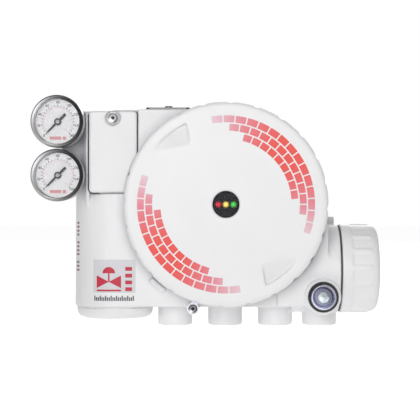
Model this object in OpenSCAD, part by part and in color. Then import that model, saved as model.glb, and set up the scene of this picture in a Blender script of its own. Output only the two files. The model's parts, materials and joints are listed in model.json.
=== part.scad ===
// Valve positioner: a die-cast housing with a screw-on main cover, a spool valve column,
// a wiring chamber with a ribbed cap, two pressure gauges and a feedback shaft at the back.
// The origin is on the cover and shaft axis, at the rear mounting face. X is right, Z is up,
// and sizes named front, back or floor are distances forward of the rear face, along -Y.

/* [Housing] */
// Step from the main cover's rim in to the drum behind it
drum_inset = 1.25; // [0.5:0.05:3]
// Wall of the drum's threaded neck
neck_wall = 7; // [5:0.25:9]
// Back face of the drum
drum_back = 6; // [4:0.5:7]
// Thickness of the electronics chamber's floor
floor_t = 8; // [7:0.5:10]
// Radius of the rounded back edge of the drum
drum_round = 8; // [5:0.5:9]
// Gap from the main cover's rim to the column's axis
column_gap = 10.45; // [10:0.05:13]
// Radius of the column at its foot
column_r = 31.6; // [31:0.1:33]
// Radius that the column loses towards its top
column_draft = 1; // [0:0.1:1.2]
// Forward place of the column, port and wiring chamber axes
axis_front = 36; // [35:0.5:38]
// Drop from the cover's highest point to the flat top
top_drop = 3.45; // [2:0.05:5]
// Drop from the cover's lowest point to the flat bottom
bottom_drop = 2.05; // [1:0.05:5]
// Width of the square rear mounting pad
pad_w = 70; // [66:1:80]
// Spacing of the rear bracket holes
bracket_pitch = 50; // [46:1:52]
// Tap radius of the rear bracket holes
bracket_tap_r = 3.4; // [2.5:0.1:3.8]

/* [Main cover] */
// Outer radius of the main cover
cover_r = 77.25; // [72:0.25:84]
// Height of the main cover's face above the drum
cover_height = 29.5; // [27:0.5:34]
// Thickness of the cover's face
cover_face = 8; // [7.5:0.1:9]
// Wall of the cover's skirt
skirt_wall = 8.85; // [7.5:0.05:10]
// Rounding of the cover's front edge
cover_round = 3.5; // [2:0.25:5]
// Number of grip notches round the cover
notch_count = 24; // [12:1:30]
// Width of a grip notch
notch_w = 5; // [3:0.25:6]
// Depth of a grip notch
notch_depth = 1.2; // [0.6:0.1:1.6]
// Slope of the floor of the two pry scoops
scoop_slope = 18; // [10:1:19]
// Length of a pry scoop
scoop_length = 26; // [18:0.5:30]
// Width of the rib left standing outside a scoop
scoop_rim = 9.25; // [7:0.25:11]
// Radius of the status window
window_r = 10.1; // [9:0.1:12]
// Free gap round the rim of the main cover
rim_gap = 1.4; // [1:0.1:2]

/* [Spool valve] */
// Width of the spool cover plate
plate_w = 37.3; // [36:0.1:39]
// Height of the spool cover plate
plate_h = 63.2; // [60:0.2:64]
// Depth of the plate's seat below the flat front
plate_seat = 7.2; // [6.5:0.1:8]
// Thickness of the plate's gasket
gasket_t = 1.2; // [0.8:0.1:1.6]
// Gap round the plate
plate_gap = 0.7; // [0.4:0.1:1.2]
// Width of the lip on the plate's left
plate_lip = 1.9; // [1.5:0.1:3]
// Width of the spool block
block_w = 24; // [22:0.5:26]
// Height of the spool block
block_h = 42; // [38:0.5:44]
// Depth of the spool block
block_depth = 22; // [20:0.5:24]
// Radius of the spool's bore
spool_r = 4; // [3:0.1:5]
// Radius of the spool cover screw's head
plate_screw_r = 3.5; // [3:0.1:4]

/* [Driver] */
// Radius of the driver bore in the column
driver_bore_r = 26; // [25:0.25:26.5]
// Height of the driver bore's roof below the shaft axis
driver_roof = 6; // [4:0.5:8]
// Outer radius of the driver cover
bowl_r = 30.2; // [29.5:0.1:30.8]
// Depth of the driver cover
bowl_h = 9; // [7:0.1:11]
// Radius of the driver body
driver_r = 17; // [15:0.5:18]
// Length of the driver body
driver_length = 50; // [44:1:54]

/* [Ports] */
// Outer radius of a port boss
port_r = 13.6; // [12.5:0.1:14]
// Length of the port bosses below the flat bottom
port_length = 16.2; // [14:0.2:20]
// Spacing of the three air ports
port_pitch = 39.8; // [38:0.2:42]
// Tap radius of an air port
air_tap_r = 5.6; // [5:0.1:6.5]
// Depth of the left air port's tapped hole
air_tap_depth = 17; // [15:0.5:18]
// Added depth of each next air port, up to its own gallery
air_tap_step = 1.5; // [1.2:0.1:2]
// Tap radius of a conduit port
conduit_tap_r = 9.25; // [8.5:0.05:9.5]
// Depth of the lower conduit port's tapped hole
conduit_tap_depth = 15.5; // [13:0.5:16]

/* [Wiring chamber] */
// Outer radius of the wiring chamber
wiring_r = 34.8; // [34:0.1:36]
// Radius of its bore
wiring_bore_r = 26; // [25:0.25:26.5]
// Depth to which it hangs below the flat bottom
wiring_sink = 6.1; // [5:0.1:8]
// Depth of its bore behind the shoulder that the cap closes on
wiring_length = 30.28; // [29:0.02:34]
// Radius of the threaded neck under the cap
cap_neck_r = 30; // [29.5:0.1:31]
// Radius of the wiring cap
cap_r = 35.3; // [34.5:0.1:36]
// Length of the wiring cap
cap_length = 29.6; // [27:0.2:32]
// Length of the plain band at the cap's mouth
cap_band = 8; // [6:0.5:10]
// Number of grip ribs on the cap
cap_ribs = 16; // [8:1:20]
// Width of a grip rib
cap_rib_w = 3; // [2:0.1:4]
// Depth of the valleys between the ribs
cap_rib_h = 1; // [0.5:0.1:1.5]
// Distance of the front conduit plug's axis from the shoulder
plug_inset = 14.3; // [14:0.1:15.5]
// Depth of the front conduit plug below the wiring chamber's axis
plug_below = 20.7; // [19.5:0.1:22]
// Radius of the front conduit boss
plug_boss_r = 14; // [13:0.1:14.2]
// Radius of the plug's head
plug_r = 10.15; // [9.8:0.05:11]

/* [Gauges] */
// Radius of a gauge
gauge_r = 20; // [18:0.1:22]
// Gap between a gauge and the lip of the spool plate
gauge_gap = 0.15; // [0.1:0.05:4]
// Drop from the flat top to the upper gauge's centre
gauge_drop = 10.6; // [8:0.1:12]
// Gap between the two gauges
gauge_space = 0.9; // [0.6:0.1:4]
// Height of a gauge's bezel in front of the flat front
gauge_rise = 20.7; // [18:0.1:24]
// Depth of a gauge's case
gauge_depth = 26; // [24:0.5:27]
// Radius of the ear that carries a gauge
ear_r = 12; // [10:0.5:14]

/* [Feedback shaft] */
// Radius of the feedback shaft
shaft_r = 4; // [3.5:0.1:4.5]
// Length of the shaft behind the rear face
shaft_length = 36; // [30:1:50]
// Radius of the position sensor
sensor_r = 12; // [10:0.5:14]
// Number of turns of the return spring
spring_turns = 6; // [4:1:7]

/* [Electronics] */
// Gap round the main board
board_gap = 4; // [3:0.5:9]
// Depth of the main board's back behind the drum's front
board_sink = 8.5; // [6:0.5:12]
// Thickness of a circuit board
board_t = 1.6; // [1:0.1:2.4]
// Distance of the board screws from the board's edge
board_screw_edge = 8; // [7:0.5:10]
// Radius of a light guide
guide_r = 2.5; // [2:0.1:2.7]
// Spacing of the light guides
guide_pitch = 5.75; // [5.5:0.05:6.2]
// Travel of a push button
button_travel = 1; // [0.5:0.1:1.5]

/* [Fits] */
// Free gap between parts that move past each other
clear = 0.3; // [0.2:0.05:0.4]
// Radial clearance of a running fit
run_fit = 0.05; // [0.02:0.01:0.08]
// Gap that a seal or a disc keeps in its seat
seat_gap = 0.1; // [0.05:0.05:0.2]

/* [Hidden] */
$fn = 64;
fine = 128;
white = [0.93, 0.93, 0.93];
steel = [0.72, 0.73, 0.75];
black = [0.1, 0.1, 0.11];
board_green = [0.1, 0.4, 0.22];
cream = [0.85, 0.82, 0.7];
bore_over = 1;
merge = 1;

// Drum, neck and chamber
thread_gap = 0.4;
cover_bore_r = cover_r - skirt_wall;
neck_r = cover_bore_r - thread_gap;
chamber_r = neck_r - neck_wall;
chamber_floor = drum_back + floor_t;
drum_r = cover_r - drum_inset;
top_z = cover_r - top_drop;
bottom_z = cover_r + bottom_drop;
pad_corner = pad_w / 7;
pad_root = drum_back + floor_t / 2;
bracket_tap_end = chamber_floor - 2.5;

// Column and block
column_x = -cover_r - column_gap;
axis_y = -axis_front;
column_crown = 0.3;
deck_front = axis_front + column_r - column_crown;
block_back = axis_front - column_r + column_crown;
column_top = top_z - 1.2;
column_bottom = -bottom_z - 0.5;
drum_front = deck_front + 1.2;
block_right_x = chamber_r + merge;

// Main cover, its seal, window and lock
cover_front = drum_front + cover_height;
cover_under = cover_front - cover_face;
neck_front = cover_under - 1.5;
cover_seal_r = 1.5;
cover_back = drum_front + 2 * (cover_seal_r + clear);
cover_rib_w = 3;
cover_rib_h = 3;
notch_first = 12.5;
notch_cut_r = (notch_w * notch_w / 4 + notch_depth * notch_depth) / (2 * notch_depth);
scoop_rim_r = cover_r - scoop_rim;
scoop_x = -0.68 * cover_r;
scoop_z = 0.518 * cover_r;
scoop_turn = 10;
scoop_lead = 12;
scoop_wide = 40;
window_lip = 2.6;
window_flange_r = window_r + window_lip;
window_seat = cover_front - 5;
window_flange = 2.7;
window_sink = 0.4;
window_edge = 0.7;
rim_clear_r = cover_r + rim_gap;
lock_screw_r = 2;
lock_boss_r = 4.6;
lock_angle = notch_first + 240;
lock_r = cover_r + lock_boss_r + lock_screw_r;
lock_x = lock_r * cos(lock_angle);
lock_z = lock_r * sin(lock_angle);
lock_front = cover_back + 1;
lock_boss_l = 23;
lock_clip_t = 1.8;
lock_clip_w = 5;
lock_head_r = lock_boss_r - 1.2;
lock_head_h = 3;
lock_shank = 13;
lug_gap = 2;
lug_w = 4.5;
lug_h = 5;
lug_l = 14;
lug_turn = 225;

// Spool plate, block and spool
seat_front = deck_front - plate_seat;
plate_front = deck_front - 0.3;
plate_x = column_x + 0.5;
plate_left = plate_x - plate_w / 2;
plate_top = top_z - 1.4;
plate_z = plate_top - plate_h / 2;
plate_bottom = plate_top - plate_h;
plate_corner = 3;
plate_screw_z = plate_top - 5.3;
plate_head_h = 3.6;
plate_head_sink = 2.6;
plate_head_gap = 2.2;
plate_shank_r = 1.7;
plate_shank = 14;
plate_screw_seat = plate_front - plate_head_sink;
lip_left = plate_left - plate_gap - plate_lip;
lip_front = deck_front - 0.6;
lip_top = plate_top - 1.6;
lip_fade = 9;
lip_fade_l = 14;
pocket_w = block_w + 5;
pocket_h = block_h + 4;
pocket_z = plate_z - 1.4;
pocket_floor = axis_front - block_depth / 2 - 1;
block_front = pocket_floor + block_depth;
pocket_corner = 3;
tongue_w = 20;
tongue_t = 2.4;
tongue_l = 3;
spool_top_z = pocket_z + block_h / 2 - 2;
spool_bottom_z = pocket_z - block_h / 2 - 3;
spool_core_r = 0.6 * spool_r;
land = block_h / 8;
block_port_pitch = block_h / 4 + 0.5;
block_screw_seat = 5;
block_screw_edge = 3.75;
block_corner = 2;

// Vent
vent_x = 0.511 * column_x;
vent_w = 34.4;
vent_depth = 36;
vent_plate_t = 1.4;
vent_gasket_t = 0.8;
vent_bore_r = 5;
vent_bore_x = 10;
vent_hole_r = 1;
vent_hole_at = 2.6;
vent_screw_r = 1.8;
vent_head_r = 3;
vent_head_h = 2.2;
vent_shank = 13;
vent_corner = 3;
vent_front = axis_front + 4;

// Driver and its cover
driver_roof_z = -driver_roof;
driver_flange_r = driver_bore_r - 0.5;
driver_flange = 4;
driver_screw_x = driver_r + 4;
driver_fins = 4;
driver_fin_t = 3;
driver_fin_pitch = 3 * driver_fin_t;
driver_tail = 4;
stem_r = 2;
stem_hole_r = stem_r + 1.5;
stem_reach = 14;
stem_bottom_z = driver_roof_z - stem_reach;
bowl_top_z = column_bottom - clear;
bowl_seal_r = 1.1;
bowl_seal_at = driver_bore_r + 2;
bowl_spigot = 8;
bowl_wall = 3;

// Wiring chamber, cap and conduit plug
chamber_wall = 3.5;
wiring_drop = bottom_z + wiring_sink - wiring_r;
wiring_z = -wiring_drop;
wiring_end_x = sqrt(pow(chamber_r, 2) - pow(wiring_drop - wiring_bore_r, 2)) + chamber_wall;
shoulder_x = wiring_end_x + wiring_length;
wiring_root = 8;
wiring_block_front = axis_front + wiring_r - 0.8;
wiring_block_back = drum_back + 3;
wiring_block_bottom = 0.4 - bottom_z;
wiring_block_short = 10;
wiring_block_x = shoulder_x - wiring_block_short;
wiring_block_reach = 22;
wiring_block_left = block_right_x - wiring_block_reach;
wiring_block_top = wiring_z + wiring_r + 1;
web_right = shoulder_x - 1.8;
web_top = wiring_z + wiring_r + 6.3;
web_back = drum_back + 6;
web_front = axis_front - 8;
cable_hole_r = 6;
cable_rise = 10;
cable_hole_z = wiring_z + cable_rise;
cap_neck_l = 17.4;
neck_end_x = shoulder_x + cap_neck_l;
cap_seal_t = 0.8;
cap_seal_w = 4.1;
cap_start_x = shoulder_x + cap_seal_t + 2 * seat_gap;
cap_end_x = cap_start_x + cap_length;
cap_round = 6;
cap_wall = 4;
cap_rib_turn = -3;
wiring_post_r = 3.5;
wiring_post_l = 10;
wiring_post_at = wiring_bore_r - 6;
wiring_board_x = wiring_end_x + wiring_post_l;
wiring_board_gap = 1.2;
terminal_x = wiring_board_x + board_t;
terminal_count = 5;
terminal_w = 1.15 * wiring_bore_r;
terminal_h = 0.46 * wiring_bore_r;
terminal_d = wiring_bore_r / 2;
terminal_step = 0.62 * terminal_d;
terminal_pitch = terminal_w / (terminal_count + 0.5);
terminal_screw_r = 0.36 * terminal_pitch;
terminal_screw_z = -0.21 * terminal_h;
terminal_slot = 0.8;
plug_x = shoulder_x - plug_inset;
plug_z = wiring_z - plug_below;
plug_boss_front = wiring_block_front + 2;
plug_bore_rest = 16;
plug_bore_back = axis_front + plug_bore_rest;
plug_seal_t = 1.5;
plug_seal_r = plug_r + 1.65;
plug_shank = 11;
plug_head = 3.4;
plug_edge = 0.8;
plug_dish_r = 0.63 * plug_r;
plug_dish = 1.4;
plug_hex_r = 0.45 * plug_r;
plug_hex = 6;

// Ports
port_end_z = -bottom_z - port_length;
port_edge = 1;
port_flare = 3;
conduit_x = plug_x - 0.3;
conduit_throat_r = conduit_tap_r - 1;
conduit_flare = shoulder_x - conduit_x - port_r - 0.4;
conduit_root_z = wiring_z - wiring_r + 1.5;

// Gauges
gauge_drum_r = gauge_r - 0.3;
gauge_case_r = gauge_r - 1.4;
gauge_wall = 1.2;
gauge_x = lip_left - gauge_gap - gauge_drum_r;
gauge_front = deck_front + gauge_rise;
gauge_back = gauge_front - gauge_depth;
upper_gauge_z = top_z - gauge_drop;
gauge_pitch = 2 * gauge_r + gauge_space;
ear_front = gauge_back - 6;
ear_back = axis_front - 6;
ear_web = ear_r - 2;
gallery_r = 2;
gallery_sink = 8;
stem_thread_r = 4.8;
stem_thread = 12;
stem_hex_r = 6.4;
stem_hex = 5;
dial_t = 0.8;
dial_front = gauge_front - 9;
lens_t = 1.5;
lens_back = gauge_front - 3.3;
needle_front = dial_front + 1;
needle_t = 0.8;
needle_tip_r = gauge_case_r - 5.8;
needle_tail_r = 0.45 * gauge_case_r;
needle_tail_w = 1.9;
needle_w = 1.1;
needle_hub_r = 2.65;
needle_zero = 225;
bezel_lip = 2.3;
bezel_h = 5;
bezel_back = gauge_front - bezel_h;
bezel_edge = 1.6;
movement_r = 8;
movement_floor = 4;
case_floor = 2.2;
pivot_r = 0.8;

// Feedback shaft, bearing, spring and sensor
bush_r = shaft_r + 2.5;
bush_flange = 1.5;
bush_back = 3.2;
hub_r = shaft_r + 2;
hub_back = chamber_floor + bush_flange + clear;
spring_wire_r = 0.6;
spring_r = hub_r + 1 + spring_wire_r;
spring_pitch = 1.9;
spring_sides = 8;
spring_steps = 20;
spring_start = hub_back + spring_wire_r;
spring_leg = 9;
hub_front = hub_back + spring_turns * spring_pitch + 2;
bracket_front = hub_front + 1;
bracket_t = 3;
bracket_leg = sensor_r + 6;
bracket_foot = bracket_leg + 10;
bracket_w = 14;
bracket_screw_edge = 4;
sensor_h = 12;
shaft_tip_r = shaft_r - 1;
shaft_tip = bracket_front + bracket_t + 8;
shaft_edge = 0.5;
thread_r = shaft_r - 1;
lever_seat_r = shaft_r - 0.5;
lever_seat_start = 2;
lever_seat_end = shaft_length - 10;
lever_flat = lever_seat_r - 0.4;
lever_flat_l = 11;
groove_r = shaft_r - 0.8;
groove_start = 0.4;
groove_end = 1.3;
clip_play = 0.05;
clip_r = shaft_r + 2.5;
clip_slot = 4;
shaft_seal_r = 1;

// Electronics and small screws
board_r = chamber_r - board_gap;
board_front = drum_front - board_sink;
face_front = board_front + board_t;
board_screw_r = board_r - board_screw_edge;
board_notch = 4;
board_notch_w = 14;
board_flat = 6;
board_flat_h = 40;
screw_r = 1.5;
screw_head_r = 2.75;
screw_head_h = 3;
screw_hole_r = screw_r + 0.1;
screw_bite = 5;
post_r = 5;
regulator_x = -0.557 * chamber_r;
regulator_w = 0.426 * chamber_r;
regulator_screw = 0.385 * regulator_w;
regulator_corner = 3;
regulator_base = 6;
regulator_body_r = 0.35 * regulator_w;
regulator_body_h = 0.36 * chamber_r;
regulator_cap_r = 0.23 * regulator_w;
regulator_cap_h = regulator_body_h + 5;
regulator_port = 5;
seal_ring_r = 3.5;
seal_section_r = 0.8;
guide_tip = window_seat - window_flange - clear;
holder_front = guide_tip - 6;
holder_wall = guide_r;
holder_corner = 2;
switch_w = 8;
switch_h = 5;
switch_floor = 0.5;
button_r = 3.5;
button_h = 3;
button_stem_r = 1.7;
button_z = -0.667 * board_r;
button_places = [-0.316 * board_r, 0.035 * board_r, 0.246 * board_r];
selector_x = 0.49 * board_r;
selector_z = -0.35 * board_r;
selector_w = 11;
selector_stem_r = 2;
selector_r = 4.2;
selector_h = 3;
selector_slot = 1.2;

// Chips on the main board, in parts of its radius: X, Z, width, height and thickness
chips = [
  [-0.456, 0.421, 0.228, 0.228, 0.032], [0.07, 0.526, 0.316, 0.158, 0.028],
  [0.456, 0.316, 0.158, 0.158, 0.028], [-0.526, -0.105, 0.14, 0.351, 0.158],
  [0.07, -0.351, 0.175, 0.105, 0.025]
];
// Round capacitors on the main board, in parts of its radius: X, Z, radius and height
capacitors = [[0.351, 0.667, 0.07, 0.158], [0.175, 0.772, 0.053, 0.123], [0.702, 0.07, 0.07, 0.158]];

// Points along an arc about a centre, between two angles
function arc(cx, cy, r, from, to, steps = 6) = [
  for (i = [0 : steps]) let (a = from + (to - from) * i / steps) [cx + r * cos(a), cy + r * sin(a)]
];

// Places in the electronics chamber, as X and Z
board_screws = [for (a = [45 : 90 : 315]) [board_screw_r * cos(a), board_screw_r * sin(a)]];
regulator_screws = [for (s = [-1, 1]) [regulator_x + s * regulator_screw, s * regulator_screw]];
sensor_screws = [for (s = [-1, 1]) [0, s * (bracket_foot - bracket_screw_edge)]];
// Places on the wiring board, as Y and Z from the wiring chamber's axis
wiring_posts = [for (a = [90, 210, 330]) [wiring_post_at * cos(a), wiring_post_at * sin(a)]];
terminal_places = [for (k = [0 : terminal_count - 1]) (k - (terminal_count - 1) / 2) * terminal_pitch];
spool_screws = [
  for (s = [-1, 1])
    [column_x + s * (block_w / 2 - block_screw_edge), pocket_z + s * (block_h / 2 - block_screw_edge)]
];
port_places = [for (k = [-1, 0, 1]) k * port_pitch];
bracket_places = [for (x = [-1, 1], z = [-1, 1]) [x * bracket_pitch / 2, z * bracket_pitch / 2]];
gauge_places = [upper_gauge_z, upper_gauge_z - gauge_pitch];
// Line of the return spring's wire, as X, Z, forward place and turn
spring_path = concat(
  [[spring_r, -spring_leg, spring_start, 0]],
  [for (i = [0 : spring_turns * spring_steps]) let (a = 360 * i / spring_steps)
    [spring_r * cos(a), spring_r * sin(a), spring_start + spring_pitch * i / spring_steps, a]],
  [[spring_r, spring_leg, spring_start + spring_pitch * spring_turns, 0]]
);

// Turns local Z to the front, with local Y up
module facing_front() {
  rotate([90, 0, 0]) children();
}

// Round bar along the front direction, between two forward distances
module front_bar(r, from, to) {
  facing_front() translate([0, 0, from]) cylinder(h = to - from, r = r);
}

// Round bar along X, between two X values
module side_bar(r, from, to) {
  translate([from, 0, 0]) rotate([0, 90, 0]) cylinder(h = to - from, r = r);
}

// Rectangle with round corners, about its middle
module rounded(w, h, r) {
  square([w - 2 * r, h], center = true);
  square([w, h - 2 * r], center = true);
  for (x = [-1, 1], y = [-1, 1])
    translate([x * (w / 2 - r), y * (h / 2 - r)]) circle(r);
}

// Flat form drawn as seen from the front, between two forward distances
module front_slab(from, to) {
  facing_front() translate([0, 0, from]) linear_extrude(to - from) children();
}

// Round ring seal about Z
module seal_ring(r, section) {
  rotate_extrude() translate([r, 0]) circle(section, $fn = 24);
}

// Cap screw with its head above the seat at Z 0 and its shank below
module cap_screw(r, head_r, head_h, length) {
  difference() {
    union() {
      cylinder(h = head_h, r = head_r);
      translate([0, 0, -length]) cylinder(h = length + head_h / 2, r = r);
    }
    translate([0, 0, head_h / 2]) cylinder(h = head_h, r = r, $fn = 6);
  }
}

// Outline of the spool plate: a rounded plate cut back round the main cover
module plate_outline(grow = 0) {
  difference() {
    translate([plate_x, plate_z]) rounded(plate_w + 2 * grow, plate_h + 2 * grow, plate_corner + grow);
    circle(rim_clear_r - grow, $fn = fine);
  }
}

// Drum with a rounded back edge, and the threaded neck in front of it
module drum() {
  facing_front() rotate_extrude($fn = fine) polygon(concat(
    [[0, drum_back], [drum_r - drum_round, drum_back]],
    arc(drum_r - drum_round, drum_back + drum_round, drum_round, -90, 0),
    [[drum_r, drum_front], [neck_r, drum_front], [neck_r, neck_front], [0, neck_front]]
  ));
}

// Left block and lower body, as seen from the front
module lower_body() {
  front_slab(block_back, deck_front) polygon([
    [column_x, top_z], [0, top_z], [0, -chamber_r / 2], [block_right_x, -chamber_r / 2],
    [block_right_x, -bottom_z], [column_x, -bottom_z]
  ]);
}

// Column with its casting draft, and the lip beside the spool plate that fades into it
module column() {
  translate([column_x, axis_y, column_bottom])
    cylinder(h = column_top - column_bottom, r1 = column_r, r2 = column_r - column_draft);
  translate([lip_left, 0, 0]) rotate([90, 0, 90]) linear_extrude(plate_lip + 2 * plate_gap) polygon([
    [axis_y, lip_top], [-lip_front, lip_top], [-lip_front, plate_bottom - plate_gap],
    [lip_fade - lip_front, plate_bottom - lip_fade_l], [axis_y, plate_bottom - lip_fade_l]
  ]);
}

// Boss with a flared root, hanging below a given height
module port_boss(root_z, flare) {
  translate([0, axis_y, 0]) rotate_extrude() polygon(concat(
    [[0, port_end_z], [port_r - port_edge, port_end_z], [port_r, port_end_z + port_edge]],
    arc(port_r + flare, root_z - flare, flare, 180, 90),
    [[port_r + flare, root_z + 2 * merge], [0, root_z + 2 * merge]]
  ));
}

// Ears that carry the gauges, with one web to the column
module gauge_ears() {
  for (z = gauge_places) translate([gauge_x, 0, z]) front_bar(ear_r, ear_back, ear_front);
  translate([gauge_x, 0, gauge_places[1] - ear_web]) front_slab(ear_back + merge, ear_front - merge)
    square([column_x - gauge_x, gauge_pitch + 2 * ear_web]);
}

// Wiring chamber at the lower right, cleared for the main cover's rim
module wiring_body() {
  difference() {
    union() {
      translate([0, axis_y, wiring_z]) side_bar(wiring_r, wiring_end_x - wiring_root, shoulder_x);
      front_slab(wiring_block_back, wiring_block_front) translate([wiring_block_left, wiring_block_bottom])
        square([wiring_block_x - wiring_block_left, wiring_block_top - wiring_block_bottom]);
    }
    front_bar(rim_clear_r, drum_front - clear, axis_front + wiring_r + bore_over);
  }
  translate([0, axis_y, wiring_z]) side_bar(cap_neck_r, shoulder_x - merge, neck_end_x);
  front_slab(web_back, web_front) translate([wiring_end_x - wiring_root, wiring_z])
    square([web_right - wiring_end_x + wiring_root, web_top - wiring_z]);
  translate([plug_x, 0, plug_z]) front_bar(plug_boss_r, axis_front, plug_boss_front);
}

// Cast lug and lock screw boss beside the main cover's rim
module rim_lugs() {
  front_slab(deck_front - 2 * merge, deck_front - 2 * merge + lug_h) intersection() {
    difference() {
      circle(cover_r + lug_gap + lug_w, $fn = fine);
      circle(cover_r + lug_gap, $fn = fine);
    }
    rotate(lug_turn) square([lock_r, lug_l]);
  }
  translate([lock_x, 0, lock_z]) front_bar(lock_boss_r, lock_front - lock_boss_l, lock_front);
}

module housing_solid() {
  difference() {
    drum();
    front_bar(chamber_r, chamber_floor, neck_front + bore_over);
  }
  difference() {
    union() {
      lower_body();
      column();
      for (x = port_places) translate([x, 0, 0]) port_boss(-bottom_z, port_flare);
      translate([conduit_x, 0, 0]) port_boss(conduit_root_z, conduit_flare);
      wiring_body();
      rim_lugs();
      gauge_ears();
      front_slab(0, pad_root) rounded(pad_w, pad_w, pad_corner);
    }
    front_bar(chamber_r, chamber_floor, neck_front + bore_over);
  }
  for (p = board_screws)
    translate([p[0], 0, p[1]]) front_bar(post_r, chamber_floor - merge, board_front);
}

// Everything cut for the spool valve, its cover and the driver below it
module spool_cuts() {
  front_slab(seat_front, deck_front + plate_seat) union() {
    plate_outline(plate_gap);
    difference() {
      translate([plate_left + plate_corner, plate_z])
        square([plate_w - plate_corner + plate_gap, plate_h]);
      circle(rim_clear_r - plate_gap, $fn = fine);
    }
  }
  translate([plate_x, 0, plate_bottom - tongue_l - plate_gap])
    front_slab(seat_front + gasket_t - seat_gap, seat_front + gasket_t + tongue_t + seat_gap)
      translate([-tongue_w / 2 - clear, 0]) square([tongue_w + 2 * clear, 2 * tongue_l]);
  translate([column_x, 0, pocket_z]) front_slab(pocket_floor, seat_front + bore_over)
    rounded(pocket_w, pocket_h, pocket_corner);
  translate([plate_x, 0, plate_screw_z])
    front_bar(plate_shank_r + seat_gap, plate_screw_seat - plate_shank - bore_over, seat_front + bore_over);
  for (p = spool_screws) translate([p[0], 0, p[1]])
    front_bar(screw_hole_r, pocket_floor - screw_bite - bore_over, pocket_floor + bore_over);
  translate([column_x, axis_y, column_bottom - bore_over])
    cylinder(h = driver_roof_z - column_bottom + bore_over, r = driver_bore_r);
  translate([column_x, axis_y, driver_roof_z - bore_over])
    cylinder(h = pocket_z - driver_roof_z, r = stem_hole_r);
  for (s = [-1, 1])
    translate([column_x + s * driver_screw_x, axis_y, driver_roof_z - bore_over])
      cylinder(h = screw_bite + 2 * bore_over, r = screw_hole_r);
}

module port_cuts() {
  for (k = [0 : len(port_places) - 1])
    translate([port_places[k], axis_y, port_end_z - bore_over])
      cylinder(h = air_tap_depth + k * air_tap_step + bore_over, r = air_tap_r);
  translate([conduit_x, axis_y, port_end_z - bore_over]) {
    cylinder(h = conduit_tap_depth + bore_over, r = conduit_tap_r);
    cylinder(h = wiring_z - port_end_z + bore_over, r = conduit_throat_r);
  }
  translate([plug_x, 0, plug_z]) front_bar(conduit_tap_r, plug_bore_back, plug_boss_front + bore_over);
}

module wiring_cuts() {
  translate([0, axis_y, wiring_z]) difference() {
    side_bar(wiring_bore_r, wiring_end_x, neck_end_x + bore_over);
    for (p = wiring_posts)
      translate([0, p[0], p[1]]) side_bar(wiring_post_r, wiring_end_x - merge, wiring_board_x);
  }
  translate([0, axis_y, cable_hole_z]) side_bar(cable_hole_r, chamber_r / 2, wiring_end_x + bore_over);
  translate([0, axis_y, wiring_z]) for (p = wiring_posts)
    translate([0, p[0], p[1]]) side_bar(screw_hole_r, wiring_end_x + 2 * merge, wiring_board_x + bore_over);
}

module shaft_cuts() {
  front_bar(bush_r, -bore_over, chamber_floor + bore_over);
  for (p = bracket_places)
    translate([p[0], 0, p[1]]) front_bar(bracket_tap_r, -bore_over, bracket_tap_end);
  for (p = concat(regulator_screws, sensor_screws)) translate([p[0], 0, p[1]])
    front_bar(screw_hole_r, chamber_floor - screw_bite - bore_over, chamber_floor + bore_over);
  for (p = board_screws) translate([p[0], 0, p[1]])
    front_bar(screw_hole_r, board_front - 2 * screw_bite - bore_over, board_front + bore_over);
}

module gauge_cuts() {
  for (z = gauge_places) {
    translate([gauge_x, 0, z])
      front_bar(stem_thread_r + seat_gap, ear_front - stem_thread - 2 * bore_over, ear_front + bore_over);
    translate([0, gallery_sink - ear_front, z])
      side_bar(gallery_r, gauge_x, column_x - pocket_w / 2 + bore_over);
  }
}

module vent_cuts() {
  for (s = [-1, 1])
    translate([vent_x + s * vent_bore_x, -vent_front, chamber_r / 2])
      cylinder(h = top_z - chamber_r / 2 + bore_over, r = vent_bore_r);
  translate([vent_x, -vent_front, top_z - vent_shank + bore_over])
    cylinder(h = vent_shank, r = vent_screw_r + seat_gap);
}

module housing() {
  color(white) difference() {
    housing_solid();
    spool_cuts();
    port_cuts();
    wiring_cuts();
    shaft_cuts();
    gauge_cuts();
    vent_cuts();
    translate([lock_x, 0, lock_z])
      front_bar(lock_screw_r, lock_front - lock_shank - bore_over, lock_front + bore_over);
  }
}

// Screw-on main cover: face, skirt, grip notches, pry scoops and ribs under the face
module cover_form() {
  facing_front() rotate_extrude($fn = fine) polygon(concat(
    [[window_r, window_seat], [window_r, cover_front], [cover_r - cover_round, cover_front]],
    arc(cover_r - cover_round, cover_front - cover_round, cover_round, 90, 0),
    [[cover_r, cover_back], [cover_bore_r, cover_back], [cover_bore_r, cover_under],
     [window_flange_r + seat_gap, cover_under], [window_flange_r + seat_gap, window_seat]]
  ));
  facing_front() for (a = [0 : 60 : 300])
    rotate([0, 0, a]) translate([window_flange_r + cover_rib_w, -cover_rib_w / 2, cover_under - cover_rib_h])
      cube([chamber_r - window_flange_r - 2 * cover_rib_w, cover_rib_w, cover_rib_h + merge]);
}

module cover_scoop() {
  facing_front() intersection() {
    translate([0, 0, cover_under]) cylinder(h = cover_face + bore_over, r = scoop_rim_r, $fn = fine);
    translate([scoop_x, scoop_z, cover_front]) rotate([0, 0, scoop_turn]) rotate([-scoop_slope, 0, 0])
      translate([-scoop_lead, 0, 0]) cube([scoop_length + scoop_lead, scoop_wide, scoop_wide]);
  }
}

module main_cover() {
  color(white) difference() {
    cover_form();
    facing_front() for (k = [0 : notch_count - 1])
      rotate([0, 0, notch_first + 360 / notch_count * k])
        translate([cover_r - notch_depth + notch_cut_r, 0, cover_back - bore_over])
          cylinder(h = cover_front - cover_back + 2 * bore_over, r = notch_cut_r);
    cover_scoop();
    rotate([0, 180, 0]) cover_scoop();
  }
}

module main_cover_seal() {
  color(black) facing_front() translate([0, 0, drum_front + clear + cover_seal_r])
    seal_ring(neck_r + clear + cover_seal_r, cover_seal_r, $fn = fine);
}

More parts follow.
